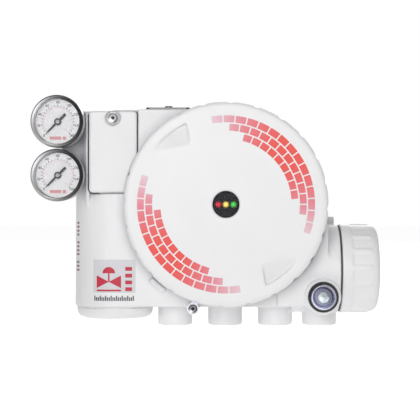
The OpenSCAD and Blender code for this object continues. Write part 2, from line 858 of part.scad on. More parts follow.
module status_window() {
  edge_r = window_r - seat_gap;
  face = cover_front - window_sink;
  color([0.12, 0.12, 0.14]) facing_front() rotate_extrude() polygon([
    [0, window_seat - window_flange], [window_flange_r, window_seat - window_flange],
    [window_flange_r, window_seat], [edge_r, window_seat],
    [edge_r, face - window_edge], [edge_r - window_edge, face], [0, face]
  ]);
}

module cover_lock_clip() {
  color(steel) front_slab(lock_front, lock_front + lock_clip_t) difference() {
    union() {
      translate([lock_x, lock_z]) circle(lock_boss_r);
      rotate(lock_angle) translate([cover_r + clear, -lock_clip_w / 2])
        square([lock_r - cover_r, lock_clip_w]);
    }
    translate([lock_x, lock_z]) circle(lock_screw_r + seat_gap);
  }
}

module cover_lock_screw() {
  color(steel) translate([lock_x, -lock_front - lock_clip_t, lock_z]) facing_front()
    cap_screw(lock_screw_r - seat_gap, lock_head_r, lock_head_h, lock_shank);
}

// Spool valve under its cover plate
module spool_cover() {
  plate_back = seat_front + gasket_t;
  color(white) difference() {
    union() {
      front_slab(plate_back, plate_front) plate_outline();
      translate([plate_x - tongue_w / 2, 0, plate_bottom - tongue_l])
        front_slab(plate_back, plate_back + tongue_t) square([tongue_w, 2 * tongue_l]);
    }
    translate([column_x, 0, pocket_z]) front_slab(seat_front, plate_back + tongue_t)
      rounded(pocket_w - 8, pocket_h - 8, pocket_corner);
    translate([plate_x, 0, plate_screw_z]) {
      front_bar(plate_shank_r + 2 * seat_gap, seat_front, plate_front);
      front_bar(plate_screw_r + plate_head_gap, plate_screw_seat, plate_front + bore_over);
    }
  }
}

module spool_cover_gasket() {
  color(black) front_slab(seat_front, seat_front + gasket_t) difference() {
    plate_outline(plate_gap - clear);
    translate([column_x, pocket_z]) rounded(pocket_w - 6, pocket_h - 4, pocket_corner);
    translate([plate_x, plate_screw_z]) circle(plate_shank_r + clear);
  }
}

module spool_cover_screw() {
  color(steel) translate([plate_x, -plate_screw_seat, plate_screw_z]) facing_front()
    cap_screw(plate_shank_r, plate_screw_r, plate_head_h, plate_shank);
}

module spool_block() {
  color([0.75, 0.76, 0.78]) difference() {
    translate([column_x, 0, pocket_z]) front_slab(pocket_floor, block_front)
      rounded(block_w, block_h, block_corner);
    translate([column_x, axis_y, pocket_z - block_h]) cylinder(h = 2 * block_h, r = spool_r + run_fit);
    for (p = spool_screws) translate([p[0], 0, p[1]]) {
      front_bar(screw_hole_r, pocket_floor - bore_over, block_front + bore_over);
      front_bar(screw_head_r + clear, pocket_floor + block_screw_seat, block_front + bore_over);
    }
    for (k = [-1, 0, 1]) translate([column_x, 0, pocket_z + block_port_pitch * k]) front_bar(
      seal_ring_r + seal_section_r + seat_gap, pocket_floor - bore_over,
      pocket_floor + 2 * seal_section_r + seat_gap);
  }
}

module spool_block_seals() {
  color(black) for (k = [-1, 0, 1])
    translate([column_x, -pocket_floor - seal_section_r - seat_gap / 2, pocket_z + block_port_pitch * k])
      facing_front() seal_ring(seal_ring_r, seal_section_r);
}

module spool() {
  color(steel) translate([column_x, axis_y, 0]) {
    translate([0, 0, spool_bottom_z]) cylinder(h = spool_top_z - spool_bottom_z, r = spool_core_r);
    for (k = [-1.5 : 1 : 1.5])
      translate([0, 0, pocket_z + k * 2 * land - land / 2]) cylinder(h = land, r = spool_r);
  }
}

module spool_stem() {
  color([0.8, 0.65, 0.35]) translate([column_x, axis_y, stem_bottom_z])
    cylinder(h = spool_bottom_z - stem_bottom_z, r = stem_r);
}

// Vent on the flat top
module vent_shape(holes_r) {
  difference() {
    rounded(vent_w, vent_depth, vent_corner);
    for (s = [-1, 1], a = [0 : 90 : 270])
      translate([s * vent_bore_x + vent_hole_at * cos(a), vent_hole_at * sin(a)]) circle(holes_r, $fn = 24);
    circle(vent_screw_r + seat_gap);
  }
}

module vent_gasket() {
  color(black) translate([vent_x, -vent_front, top_z]) linear_extrude(vent_gasket_t)
    vent_shape(vent_hole_r + 2 * seat_gap);
}

module vent_plate() {
  color(steel) translate([vent_x, -vent_front, top_z + vent_gasket_t]) linear_extrude(vent_plate_t)
    vent_shape(vent_hole_r);
}

module vent_screw() {
  color(steel) translate([vent_x, -vent_front, top_z + vent_gasket_t + vent_plate_t])
    cap_screw(vent_screw_r, vent_head_r, vent_head_h, vent_shank);
}

// Driver below the spool, and its screw-in cover
module driver_module() {
  color([0.55, 0.56, 0.58]) translate([column_x, axis_y, driver_roof_z]) difference() {
    union() {
      translate([0, 0, -driver_flange]) cylinder(h = driver_flange, r = driver_flange_r);
      translate([0, 0, -driver_length]) cylinder(h = driver_length, r = driver_r);
      for (k = [1 : driver_fins])
        translate([0, 0, -driver_length + driver_fin_pitch * k]) cylinder(h = driver_fin_t, r = driver_r + 1);
      translate([0, 0, -driver_length - driver_tail])
        cylinder(h = driver_tail + merge, r = driver_r - driver_tail);
    }
    translate([0, 0, stem_bottom_z - driver_roof_z - stem_r]) cylinder(h = driver_length, r = stem_r + clear);
    for (s = [-1, 1])
      translate([s * driver_screw_x, 0, -driver_flange - bore_over])
        cylinder(h = driver_flange + 2 * bore_over, r = screw_hole_r);
  }
}

module driver_cover() {
  spigot_r = driver_bore_r - clear;
  spigot_z = column_bottom + bowl_spigot;
  foot_z = bowl_top_z - bowl_h;
  fillet = 0.72 * bowl_h;
  inner_r = spigot_r - bowl_wall;
  color(white) translate([column_x, axis_y, 0]) difference() {
    rotate_extrude() polygon(concat(
      [[0, foot_z]],
      arc(bowl_r - fillet, foot_z + fillet, fillet, -90, 0),
      [[bowl_r, bowl_top_z], [spigot_r, bowl_top_z], [spigot_r, spigot_z], [inner_r, spigot_z],
       [inner_r, foot_z + bowl_wall], [0, foot_z + bowl_wall]]
    ));
    translate([0, 0, column_bottom - 2 * bowl_seal_r - 2 * seat_gap]) difference() {
      cylinder(h = 2 * bowl_seal_r + bore_over, r = bowl_seal_at + bowl_seal_r + seat_gap);
      cylinder(h = 6 * bowl_seal_r, r = bowl_seal_at - bowl_seal_r - seat_gap, center = true);
    }
  }
}

module driver_cover_seal() {
  color(black) translate([column_x, axis_y, column_bottom - bowl_seal_r - seat_gap])
    seal_ring(bowl_seal_at, bowl_seal_r);
}

// Wiring chamber: ribbed cap, seal, board and terminals
module wiring_cap() {
  valley_r = cap_r - cap_rib_h;
  mouth_r = cap_neck_r + clear;
  hollow_r = wiring_bore_r - cap_wall / 2;
  hollow_start = neck_end_x + cap_wall / 2;
  hollow_end = cap_end_x - cap_wall;
  color(white) translate([0, axis_y, wiring_z]) {
    rotate([0, 90, 0]) rotate_extrude() polygon(concat(
      [[mouth_r, cap_start_x], [cap_r, cap_start_x], [cap_r, cap_start_x + cap_band],
       [valley_r, cap_start_x + cap_band]],
      arc(valley_r - cap_round, cap_end_x - cap_round, cap_round, 0, 90),
      [[0, cap_end_x], [0, hollow_end], [hollow_r, hollow_end], [hollow_r, hollow_start],
       [mouth_r, hollow_start]]
    ));
    for (k = [0 : cap_ribs - 1])
      rotate([cap_rib_turn + 360 / cap_ribs * k, 0, 0])
        translate([cap_start_x + cap_band - merge, -cap_r, -cap_rib_w / 2])
          cube([cap_length - cap_band - cap_round, cap_rib_h + 2 * merge, cap_rib_w]);
  }
}

module wiring_cap_seal() {
  color(black) translate([shoulder_x + seat_gap, axis_y, wiring_z]) rotate([0, 90, 0]) difference() {
    cylinder(h = cap_seal_t, r = cap_neck_r + clear + cap_seal_w);
    translate([0, 0, -bore_over]) cylinder(h = cap_seal_t + 2 * bore_over, r = cap_neck_r + clear);
  }
}

module wiring_board() {
  color(board_green) translate([0, axis_y, wiring_z]) difference() {
    side_bar(wiring_bore_r - wiring_board_gap, wiring_board_x, terminal_x);
    for (p = wiring_posts)
      translate([0, p[0], p[1]]) side_bar(screw_hole_r, wiring_board_x - bore_over, terminal_x + bore_over);
  }
}

module terminal_block() {
  step_h = terminal_h / 3;
  color([0.2, 0.5, 0.3]) translate([terminal_x, axis_y, wiring_z]) difference() {
    translate([0, -terminal_w / 2, -terminal_h / 2]) cube([terminal_d, terminal_w, terminal_h]);
    translate([terminal_step, -terminal_w, terminal_h / 2 - step_h])
      cube([terminal_d, 2 * terminal_w, terminal_h]);
    for (y = terminal_places) translate([0, y, 0]) {
      translate([0, 0, terminal_screw_z])
        side_bar(terminal_screw_r + seat_gap, terminal_step, terminal_d + bore_over);
      translate([0, 0, terminal_h / 2 - step_h / 2])
        side_bar((step_h - terminal_slot) / 2, terminal_step / 2, terminal_step + bore_over);
    }
  }
}

module terminal_screws() {
  head_end = terminal_d - 2 * terminal_slot;
  color(steel) translate([terminal_x, axis_y, wiring_z + terminal_screw_z]) for (y = terminal_places)
    translate([0, y, 0]) difference() {
      side_bar(terminal_screw_r, terminal_step, head_end);
      translate([head_end - terminal_slot, -terminal_pitch / 2, -terminal_slot / 2])
        cube([2 * terminal_slot, terminal_pitch, terminal_slot]);
    }
}

module conduit_plug() {
  seat = plug_boss_front + plug_seal_t;
  top = seat + plug_head;
  end = seat - plug_shank;
  thread = conduit_tap_r - seat_gap;
  color(steel) translate([plug_x, 0, plug_z]) facing_front() difference() {
    rotate_extrude() polygon([
      [0, end], [thread - plug_edge, end], [thread, end + plug_edge], [thread, seat], [plug_r, seat],
      [plug_r, top - plug_edge], [plug_r - plug_edge, top], [plug_r - 2 * plug_edge, top],
      [plug_dish_r + plug_edge, top - plug_dish], [plug_dish_r, top - plug_edge], [0, top - plug_edge]
    ]);
    translate([0, 0, top - plug_hex]) cylinder(h = plug_hex + bore_over, r = plug_hex_r, $fn = 6);
  }
}

module conduit_plug_seal() {
  color(black) translate([plug_x, 0, plug_z]) front_slab(plug_boss_front, plug_boss_front + plug_seal_t)
    difference() {
      circle(plug_seal_r);
      circle(conduit_tap_r);
    }
}

// Electronics on the cast posts
module main_board() {
  color(board_green) front_slab(board_front, face_front) difference() {
    circle(board_r, $fn = fine);
    for (p = board_screws) translate(p) circle(screw_hole_r);
    rotate(-45) translate([board_r - board_notch, -board_notch_w / 2])
      square([2 * board_notch, board_notch_w]);
    translate([-board_r, -board_flat_h / 2]) square([board_flat, board_flat_h]);
  }
}

module board_components() {
  color(black) translate([0, -face_front, 0]) facing_front() {
    for (c = chips * board_r)
      translate([c[0] - c[2] / 2, c[1] - c[3] / 2, 0]) cube([c[2], c[3], c[4]]);
    for (c = capacitors * board_r)
      translate([c[0], c[1], 0]) cylinder(h = c[3], r = c[2]);
  }
}

module switch_base(w, stem_r) {
  difference() {
    front_slab(face_front, face_front + switch_h) square(w, center = true);
    front_bar(stem_r + clear, face_front + switch_floor, face_front + switch_h + bore_over);
  }
}

module switch_bases() {
  color([0.15, 0.15, 0.16]) {
    for (x = button_places) translate([x, 0, button_z]) switch_base(switch_w, button_stem_r);
    translate([selector_x, 0, selector_z]) switch_base(selector_w, selector_stem_r);
  }
}

module push_button(x) {
  cap_back = face_front + switch_h + clear + button_travel;
  translate([x, 0, button_z]) {
    front_bar(button_stem_r, face_front + switch_floor + clear + button_travel, cap_back + merge);
    front_bar(button_r, cap_back, cap_back + button_h);
  }
}

module calibrate_button() {
  color([0.75, 0.2, 0.18]) push_button(button_places[0]);
}

module jog_open_button() {
  color(cream) push_button(button_places[1]);
}

module jog_close_button() {
  color(cream) push_button(button_places[2]);
}

module gain_selector() {
  knob_back = face_front + switch_h + clear;
  slot_back = knob_back + selector_h - selector_slot;
  color(cream) translate([selector_x, 0, selector_z]) difference() {
    union() {
      front_bar(selector_stem_r, face_front + switch_floor + clear, knob_back + merge);
      front_bar(selector_r, knob_back, knob_back + selector_h);
    }
    front_slab(slot_back, knob_back + selector_h + bore_over) {
      square([2 * selector_w, selector_slot], center = true);
      translate([selector_r - 2 * selector_slot, 0]) circle(selector_slot, $fn = 3);
    }
  }
}

module light_guide_holder() {
  holder_h = 2 * (guide_r + holder_wall);
  color(black) front_slab(face_front, holder_front) difference() {
    rounded(2 * guide_pitch + holder_h, holder_h, holder_corner);
    for (k = [-1, 0, 1]) translate([k * guide_pitch, 0]) circle(guide_r + seat_gap);
  }
}

module light_guide(k) {
  translate([k * guide_pitch, 0, 0]) front_bar(guide_r, face_front, guide_tip);
}

module red_light_guide() {
  color([0.88, 0.16, 0.2]) light_guide(-1);
}

module yellow_light_guide() {
  color([0.95, 0.85, 0.35]) light_guide(0);
}

module green_light_guide() {
  color([0.3, 0.8, 0.3]) light_guide(1);
}

// Pressure regulator on the chamber floor
module pressure_regulator() {
  top = chamber_floor + regulator_base;
  color([0.7, 0.71, 0.73]) translate([regulator_x, 0, 0]) difference() {
    union() {
      front_slab(chamber_floor, top) rounded(regulator_w, regulator_w, regulator_corner);
      front_bar(regulator_body_r, chamber_floor + merge, top + regulator_body_h);
      front_bar(regulator_cap_r, chamber_floor + merge, top + regulator_cap_h);
    }
    for (s = [-1, 1]) {
      translate([s * regulator_screw, 0, s * regulator_screw])
        front_bar(screw_hole_r, chamber_floor - bore_over, top + bore_over);
      translate([0, 0, regulator_port * s]) front_bar(
        seal_ring_r + seal_section_r + seat_gap, chamber_floor - bore_over,
        chamber_floor + 2 * seal_section_r + seat_gap);
    }
  }
}

module regulator_seals() {
  color(black) for (s = [-1, 1])
    translate([regulator_x, -chamber_floor - seal_section_r - seat_gap / 2, regulator_port * s])
      facing_front() seal_ring(seal_ring_r, seal_section_r);
}

// Feedback shaft, its bearing, return spring and position sensor
module position_sensor() {
  foot_top = chamber_floor + bracket_t;
  bridge = bracket_front + bracket_t;
  inner = bracket_leg - bracket_t;
  color([0.16, 0.16, 0.18]) difference() {
    union() {
      translate([-bracket_w / 2, 0, 0]) rotate([90, 0, 90]) linear_extrude(bracket_w) polygon([
        [-chamber_floor, bracket_foot], [-foot_top, bracket_foot], [-foot_top, bracket_leg],
        [-bridge, bracket_leg], [-bridge, -bracket_leg], [-foot_top, -bracket_leg],
        [-foot_top, -bracket_foot], [-chamber_floor, -bracket_foot], [-chamber_floor, -inner],
        [-bracket_front, -inner], [-bracket_front, inner], [-chamber_floor, inner]
      ]);
      front_bar(sensor_r, bridge - merge, bridge + sensor_h);
    }
    front_bar(shaft_tip_r + clear, bracket_front - bore_over, shaft_tip + 2 * bore_over);
    for (p = sensor_screws)
      translate([p[0], 0, p[1]]) front_bar(screw_hole_r, chamber_floor - bore_over, foot_top + bore_over);
  }
}

module feedback_shaft() {
  color(steel) difference() {
    facing_front() rotate_extrude() polygon([
      [0, -shaft_length], [thread_r - shaft_edge, -shaft_length], [thread_r, shaft_edge - shaft_length],
      [thread_r, -lever_seat_end], [lever_seat_r, -lever_seat_end], [lever_seat_r, -lever_seat_start],
      [shaft_r, -lever_seat_start], [shaft_r, -groove_end], [groove_r, -groove_end],
      [groove_r, -groove_start], [shaft_r, -groove_start], [shaft_r, hub_back], [hub_r, hub_back],
      [hub_r, hub_front], [shaft_tip_r, hub_front], [shaft_tip_r, shaft_tip], [0, shaft_tip]
    ]);
    for (s = [0, 1]) mirror([0, 0, s])
      translate([-shaft_r, lever_seat_end - lever_flat_l, lever_flat])
        cube([2 * shaft_r, lever_flat_l + bore_over, shaft_r]);
  }
}

module shaft_clip() {
  color([0.35, 0.35, 0.37]) front_slab(clip_play - groove_end, -clip_play - groove_start) difference() {
    circle(clip_r);
    circle(groove_r + clip_play);
    translate([-clip_slot / 2, -clip_r - bore_over]) square([clip_slot, clip_r]);
  }
}

module shaft_bush() {
  color([0.72, 0.55, 0.3]) difference() {
    union() {
      front_bar(bush_r - seat_gap / 2, bush_back, chamber_floor + bush_flange / 2);
      front_bar(bush_r + 2 * bush_flange, chamber_floor, chamber_floor + bush_flange);
    }
    front_bar(shaft_r + run_fit, bush_back - bore_over, chamber_floor + bush_flange + bore_over);
  }
}

module shaft_seal() {
  color(black) facing_front() translate([0, 0, bush_back - shaft_seal_r - seat_gap])
    seal_ring(shaft_r + clear + shaft_seal_r, shaft_seal_r);
}

module return_spring() {
  last = len(spring_path) - 1;
  points = [for (p = spring_path, j = [0 : spring_sides - 1]) let (b = 360 * j / spring_sides)
    [p[0] + spring_wire_r * cos(b) * cos(p[3]), p[1] + spring_wire_r * cos(b) * sin(p[3]),
     p[2] + spring_wire_r * sin(b)]];
  sides = [for (i = [0 : last - 1], j = [0 : spring_sides - 1]) let (k = (j + 1) % spring_sides)
    [i * spring_sides + j, (i + 1) * spring_sides + j, (i + 1) * spring_sides + k, i * spring_sides + k]];
  ends = [
    [for (j = [0 : spring_sides - 1]) j],
    [for (j = [spring_sides - 1 : -1 : 0]) last * spring_sides + j]
  ];
  color([0.5, 0.5, 0.52]) facing_front() polyhedron(points, concat(sides, ends), convexity = 6);
}

// Screws that hold the inner pieces
module inner_screw(length) {
  cap_screw(screw_r, screw_head_r, screw_head_h, length);
}

module inner_screws() {
  color(steel) {
    for (p = board_screws) translate([p[0], -face_front, p[1]]) facing_front() inner_screw(2 * screw_bite);
    for (p = regulator_screws) translate([p[0], -chamber_floor - regulator_base, p[1]])
      facing_front() inner_screw(regulator_base + screw_bite);
    for (p = sensor_screws) translate([p[0], -chamber_floor - bracket_t, p[1]])
      facing_front() inner_screw(bracket_t + screw_bite);
    for (p = spool_screws) translate([p[0], -pocket_floor - block_screw_seat, p[1]])
      facing_front() inner_screw(block_screw_seat + screw_bite);
    for (s = [-1, 1])
      translate([column_x + s * driver_screw_x, axis_y, driver_roof_z - driver_flange]) rotate([180, 0, 0])
        inner_screw(driver_flange + screw_bite);
    for (p = wiring_posts) translate([terminal_x, axis_y + p[0], wiring_z + p[1]])
      rotate([0, 90, 0]) inner_screw(board_t + screw_bite);
  }
}

// Pressure gauges, drawn about their own axis
module gauge_case(z) {
  floor = gauge_back + case_floor;
  step = bezel_back - seat_gap;
  rim = lens_back - seat_gap;
  inner_r = gauge_case_r - gauge_wall;
  color([0.6, 0.61, 0.63]) translate([gauge_x, 0, z]) facing_front() rotate_extrude() polygon([
    [0, gauge_back], [gauge_drum_r - case_floor, gauge_back], [gauge_drum_r, floor], [gauge_drum_r, step],
    [gauge_case_r, step], [gauge_case_r, rim], [inner_r, rim], [inner_r, floor], [movement_r, floor],
    [movement_r, dial_front - dial_t],
    [pivot_r + clear, dial_front - dial_t], [pivot_r + clear, gauge_back + movement_floor],
    [0, gauge_back + movement_floor]
  ]);
}

module gauge_bezel(z) {
  inner_r = gauge_case_r + seat_gap / 2;
  lip = lens_back + lens_t + seat_gap;
  nose = bezel_edge / 3;
  color([0.35, 0.35, 0.36]) translate([gauge_x, 0, z]) facing_front() rotate_extrude() polygon([
    [inner_r, bezel_back], [gauge_r - nose, bezel_back], [gauge_r, bezel_back + nose],
    [gauge_r, gauge_front - bezel_edge],
    [gauge_r - nose, gauge_front - nose], [gauge_r - bezel_edge, gauge_front],
    [gauge_r - bezel_lip, gauge_front - nose], [gauge_r - bezel_lip - nose, lip], [inner_r, lip]
  ]);
}

module gauge_dial(z) {
  color([0.95, 0.95, 0.95]) translate([gauge_x, 0, z]) front_slab(dial_front - dial_t, dial_front)
    difference() {
      circle(gauge_case_r - gauge_wall - 2 * seat_gap);
      circle(pivot_r + clear);
    }
}

module gauge_lens(z) {
  color([0.8, 0.9, 0.95, 0.3]) translate([gauge_x, 0, z])
    front_bar(gauge_case_r - 2 * seat_gap, lens_back, lens_back + lens_t);
}

module gauge_needle(z) {
  tail = needle_tail_w / 2;
  pointer = needle_w / 2;
  color(black) translate([gauge_x, 0, z]) {
    front_slab(needle_front, needle_front + needle_t) rotate(needle_zero) polygon([
      [-needle_tail_r, -tail], [0, -tail], [needle_tip_r - needle_tail_w, -pointer], [needle_tip_r, 0],
      [needle_tip_r - needle_tail_w, pointer], [0, tail], [-needle_tail_r, tail]
    ]);
    front_bar(needle_hub_r, needle_front - needle_t / 4, needle_front + 2 * needle_t);
    front_bar(pivot_r, gauge_back + movement_floor + clear, needle_front + needle_t / 2);
  }
}

module gauge_stem(z) {
  color([0.75, 0.62, 0.35]) translate([gauge_x, 0, z]) {
    front_bar(stem_thread_r, ear_front - stem_thread, gauge_back - 2 * merge);
    facing_front() translate([0, 0, gauge_back - stem_hex]) cylinder(h = stem_hex, r = stem_hex_r, $fn = 6);
  }
}

module upper_gauge_case() {
  gauge_case(gauge_places[0]);
}

module upper_gauge_bezel() {
  gauge_bezel(gauge_places[0]);
}

module upper_gauge_dial() {
  gauge_dial(gauge_places[0]);
}

module upper_gauge_lens() {
  gauge_lens(gauge_places[0]);
}

module upper_gauge_needle() {
  gauge_needle(gauge_places[0]);
}

module upper_gauge_stem() {
  gauge_stem(gauge_places[0]);
}

module lower_gauge_case() {
  gauge_case(gauge_places[1]);
}

module lower_gauge_bezel() {
  gauge_bezel(gauge_places[1]);
}

module lower_gauge_dial() {
  gauge_dial(gauge_places[1]);
}

module lower_gauge_lens() {
  gauge_lens(gauge_places[1]);
}

module lower_gauge_needle() {
  gauge_needle(gauge_places[1]);
}

module lower_gauge_stem() {
  gauge_stem(gauge_places[1]);
}

housing();
main_cover();
main_cover_seal();
status_window();
cover_lock_clip();
cover_lock_screw();
spool_cover();
spool_cover_gasket();
spool_cover_screw();
spool_block();
spool_block_seals();
spool();
spool_stem();
vent_plate();
vent_gasket();
vent_screw();
driver_cover();
driver_cover_seal();
driver_module();
wiring_cap();
wiring_cap_seal();
wiring_board();
terminal_block();
terminal_screws();
conduit_plug();
conduit_plug_seal();
main_board();
board_components();
switch_bases();
light_guide_holder();
red_light_guide();
yellow_light_guide();
green_light_guide();
calibrate_button();
jog_open_button();
jog_close_button();
gain_selector();
pressure_regulator();
regulator_seals();
position_sensor();
feedback_shaft();
shaft_clip();
shaft_bush();
shaft_seal();
return_spring();
inner_screws();
upper_gauge_case();
upper_gauge_bezel();
upper_gauge_dial();
upper_gauge_lens();
upper_gauge_needle();
upper_gauge_stem();
lower_gauge_case();
lower_gauge_bezel();
lower_gauge_dial();
lower_gauge_lens();
lower_gauge_needle();
lower_gauge_stem();
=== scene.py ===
"""Looks of a valve positioner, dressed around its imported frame.

The frame holds every hard piece at its real size. This file softens the castings, gives each surface its
finish, prints the cover, the label and the gauge dials, cuts the threads that show and sets the stage.
All lengths are in metres. X is right, Y is to the back and Z is up.
"""

import json
import math

import bmesh
import bpy
from bpy.props import FloatProperty, FloatVectorProperty, IntProperty, PointerProperty
from mathutils import Matrix, Vector


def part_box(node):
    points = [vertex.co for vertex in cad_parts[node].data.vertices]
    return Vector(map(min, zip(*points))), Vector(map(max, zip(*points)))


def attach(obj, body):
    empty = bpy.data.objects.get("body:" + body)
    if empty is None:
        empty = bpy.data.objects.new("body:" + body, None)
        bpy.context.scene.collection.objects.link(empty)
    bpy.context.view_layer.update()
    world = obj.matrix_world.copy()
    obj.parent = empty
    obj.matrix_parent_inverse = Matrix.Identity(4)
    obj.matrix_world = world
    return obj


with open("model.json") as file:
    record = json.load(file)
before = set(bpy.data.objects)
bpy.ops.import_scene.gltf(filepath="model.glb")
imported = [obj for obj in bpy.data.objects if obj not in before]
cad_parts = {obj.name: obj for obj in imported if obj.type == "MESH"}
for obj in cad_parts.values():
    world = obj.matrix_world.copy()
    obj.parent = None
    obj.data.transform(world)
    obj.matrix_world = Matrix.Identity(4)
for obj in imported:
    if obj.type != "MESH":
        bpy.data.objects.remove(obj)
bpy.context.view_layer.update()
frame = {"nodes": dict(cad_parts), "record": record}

bl_info = {
    "name": "Valve positioner looks",
    "version": (1, 0, 0),
    "blender": (4, 5, 0),
    "location": "View3D > Sidebar > Positioner",
    "description": "Finishes, prints, threads and stage of a valve positioner",
    "category": "Object",
}

NODES = frame["nodes"]
MM = 0.001

# Places on the frame
COVER_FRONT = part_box("main_cover")[0].y
CAP_LOW, CAP_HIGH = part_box("wiring_cap")
BOWL_LOW, BOWL_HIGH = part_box("driver_cover")
BODY_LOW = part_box("housing")[0]
CAST_AXIS_Y = (BOWL_LOW.y + BOWL_HIGH.y) / 2
COLUMN_X = (BOWL_LOW.x + BOWL_HIGH.x) / 2
WIRING_Z = (CAP_LOW.z + CAP_HIGH.z) / 2
PORT_END_Z = BODY_LOW.z

# Machined surfaces of the housing
CHAMBER_R = 61.6 * MM
CHAMBER_FLOOR_Y = -13.5 * MM
NECK_R = 68.0 * MM
DRUM_FRONT_Y = -68.5 * MM
WIRING_BORE_R = 26.4 * MM
CAP_NECK_R = 30.0 * MM
SHOULDER_X = 89.6 * MM
DRIVER_BORE_R = 26.4 * MM
DRIVER_ROOF_Z = -6.0 * MM
AIR_PORTS_X = (-39.8 * MM, 0.0, 39.8 * MM)
AIR_TAP_R = 5.6 * MM
CONDUIT_X = 75.0 * MM
CONDUIT_TAP_R = 9.25 * MM
TAP_EDGE = 0.7 * MM

# Painted shade in the housing's crevices: how far above the floor it starts, and where it is stronger behind
# the gauges
SHADE_RISE = 20 * MM
GAUGE_SHADE_X = -110.5 * MM
GAUGE_SHADE_Z = (28 * MM, 36 * MM)
GAUGE_SHADE = 1.2

# Polished metal: a dark tone painted in place of dark reflections, and the directions from which painted
# highlights fall on a ring
DARK_REFLECTION_TONE = (0.028, 0.028, 0.032, 1)
PAINTED_LIGHT_LEFT = math.radians(158)
PAINTED_LIGHT_LOW = math.radians(235)
BEZEL_EDGE = 0.9 * MM

# Bead in the seam over the driver cover
BEAD_Z = -80.57 * MM
BEAD_OVER = 0.25 * MM
BEAD_DEPTH = 1.5 * MM
BEAD_RISE = 0.74 * MM

# Threads: pitch, and how far the crest stands out (or in)
AIR_THREAD = {"pitch": 1.41 * MM, "crest": -0.5 * MM}
CONDUIT_THREAD = {"pitch": 1.5 * MM, "crest": -0.6 * MM}
COVER_THREAD = {"pitch": 3 * MM, "crest": 0.25 * MM}
CAP_THREAD = {"pitch": 2 * MM, "crest": 0.2 * MM}
THREAD_ROOT = 0.3 * MM
THREAD_STEPS = 48

# A printed scale: its line's radius and width, tick lengths (outward) and width, number of ticks, ticks to
# each long one, radius and height of its numerals, and value of its last numeral
OUTER_SCALE = {
    "line": 11.9 * MM, "width": 0.08 * MM, "short": 0.9 * MM, "long": 1.3 * MM, "tick": 0.55 * MM,
    "ticks": 24, "each": 3, "numerals": 14.9 * MM, "height": 2.6 * MM, "top": 160,
}
INNER_SCALE = {
    "line": 10.9 * MM, "width": 0.3 * MM, "short": -0.6 * MM, "long": -1.0 * MM, "tick": 0.4 * MM,
    "ticks": 20, "each": 4, "numerals": 8.4 * MM, "height": 1.7 * MM, "top": 10,
}
# Plain bars under the hub: left, right, low and high from the dial's centre
DIAL_BARS = (
    (-6.2 * MM, 2.6 * MM, -13.6 * MM, -11.2 * MM),
    (3.6 * MM, 6.2 * MM, -13.6 * MM, -11.2 * MM),
)
SCALE_FILM = 0.04 * MM
HUB_CAP_R = 1.5 * MM
HUB_CAP_RISE = 0.3 * MM

# Left, right, low and high of the label, of the strokes under it and of the dashes on the column's side
LABEL = (-102.5 * MM, -69.7 * MM, -68.3 * MM, -42.8 * MM)
STROKES = (-101.8 * MM, -70.4 * MM, -74.6 * MM, -70.6 * MM)
DASHES = (-117.2 * MM, -114.8 * MM, -52.0 * MM, -12.0 * MM)
STROKE_COUNT = 22
DASH_COUNT = 13
PRINT_STEP = 2.0 * MM
PRINT_FILM = 0.05 * MM
GROUND_LIFT = 0.10 * MM
MARK_LIFT = 0.15 * MM
SYMBOL_LIFT = 0.2 * MM

# Studio: half the floor's width, and the place and size of each lamp
FLOOR_HALF = 6.0
FRONT_LAMP = ((-0.22, -1.9, 0.28), 0.9)
TOP_LAMP = ((0.1, -0.7, 1.5), 0.8)
BACK_LAMP = ((0.35, 2.2, 0.9), 0.8)

# Camera, from the photograph's viewing angle
CAMERA_PLACE = (-12.0 * MM, -1048.0 * MM, -4.2 * MM)
CAMERA_LENS = 108.6
SENSOR_WIDTH = 36.0


class CoatLook(bpy.types.PropertyGroup):
    """Powder-coated castings"""

    colour: FloatVectorProperty(
        name="Coat", description="Colour of the powder coat", subtype="COLOR", size=3,
        default=(0.83, 0.83, 0.835), min=0, max=1)
    shade: FloatVectorProperty(
        name="Coat shade", description="Darker tint in the coat's mottle", subtype="COLOR", size=3,
        default=(0.79, 0.79, 0.80), min=0, max=1)
    # Colour of the shade painted into the housing's crevices
    grime: FloatVectorProperty(
        name="Painted shade", description="Tint of the coat deep in a crevice", subtype="COLOR", size=3,
        default=(0.26, 0.26, 0.31), min=0, max=1)
    # Reach of the shade painted into crevices
    crevice: FloatProperty(
        name="Crevice", description="Reach over which a crevice is tinted", unit="LENGTH", default=11 * MM)
    roughness: FloatProperty(
        name="Roughness", description="Roughness of the coat", subtype="FACTOR", default=0.42, min=0, max=1)
    peel: FloatProperty(
        name="Peel", description="Width of one dimple of the coat", unit="LENGTH", default=0.9 * MM)
    voxel: FloatProperty(
        name="Voxel", description="Step at which the castings are remeshed", unit="LENGTH", default=0.8 * MM)
    passes: IntProperty(
        name="Softening", description="Passes that round the castings' edges", default=5, min=0)
    faces: IntProperty(
        name="Faces", description="Most faces kept on one casting", default=160000, min=1000)


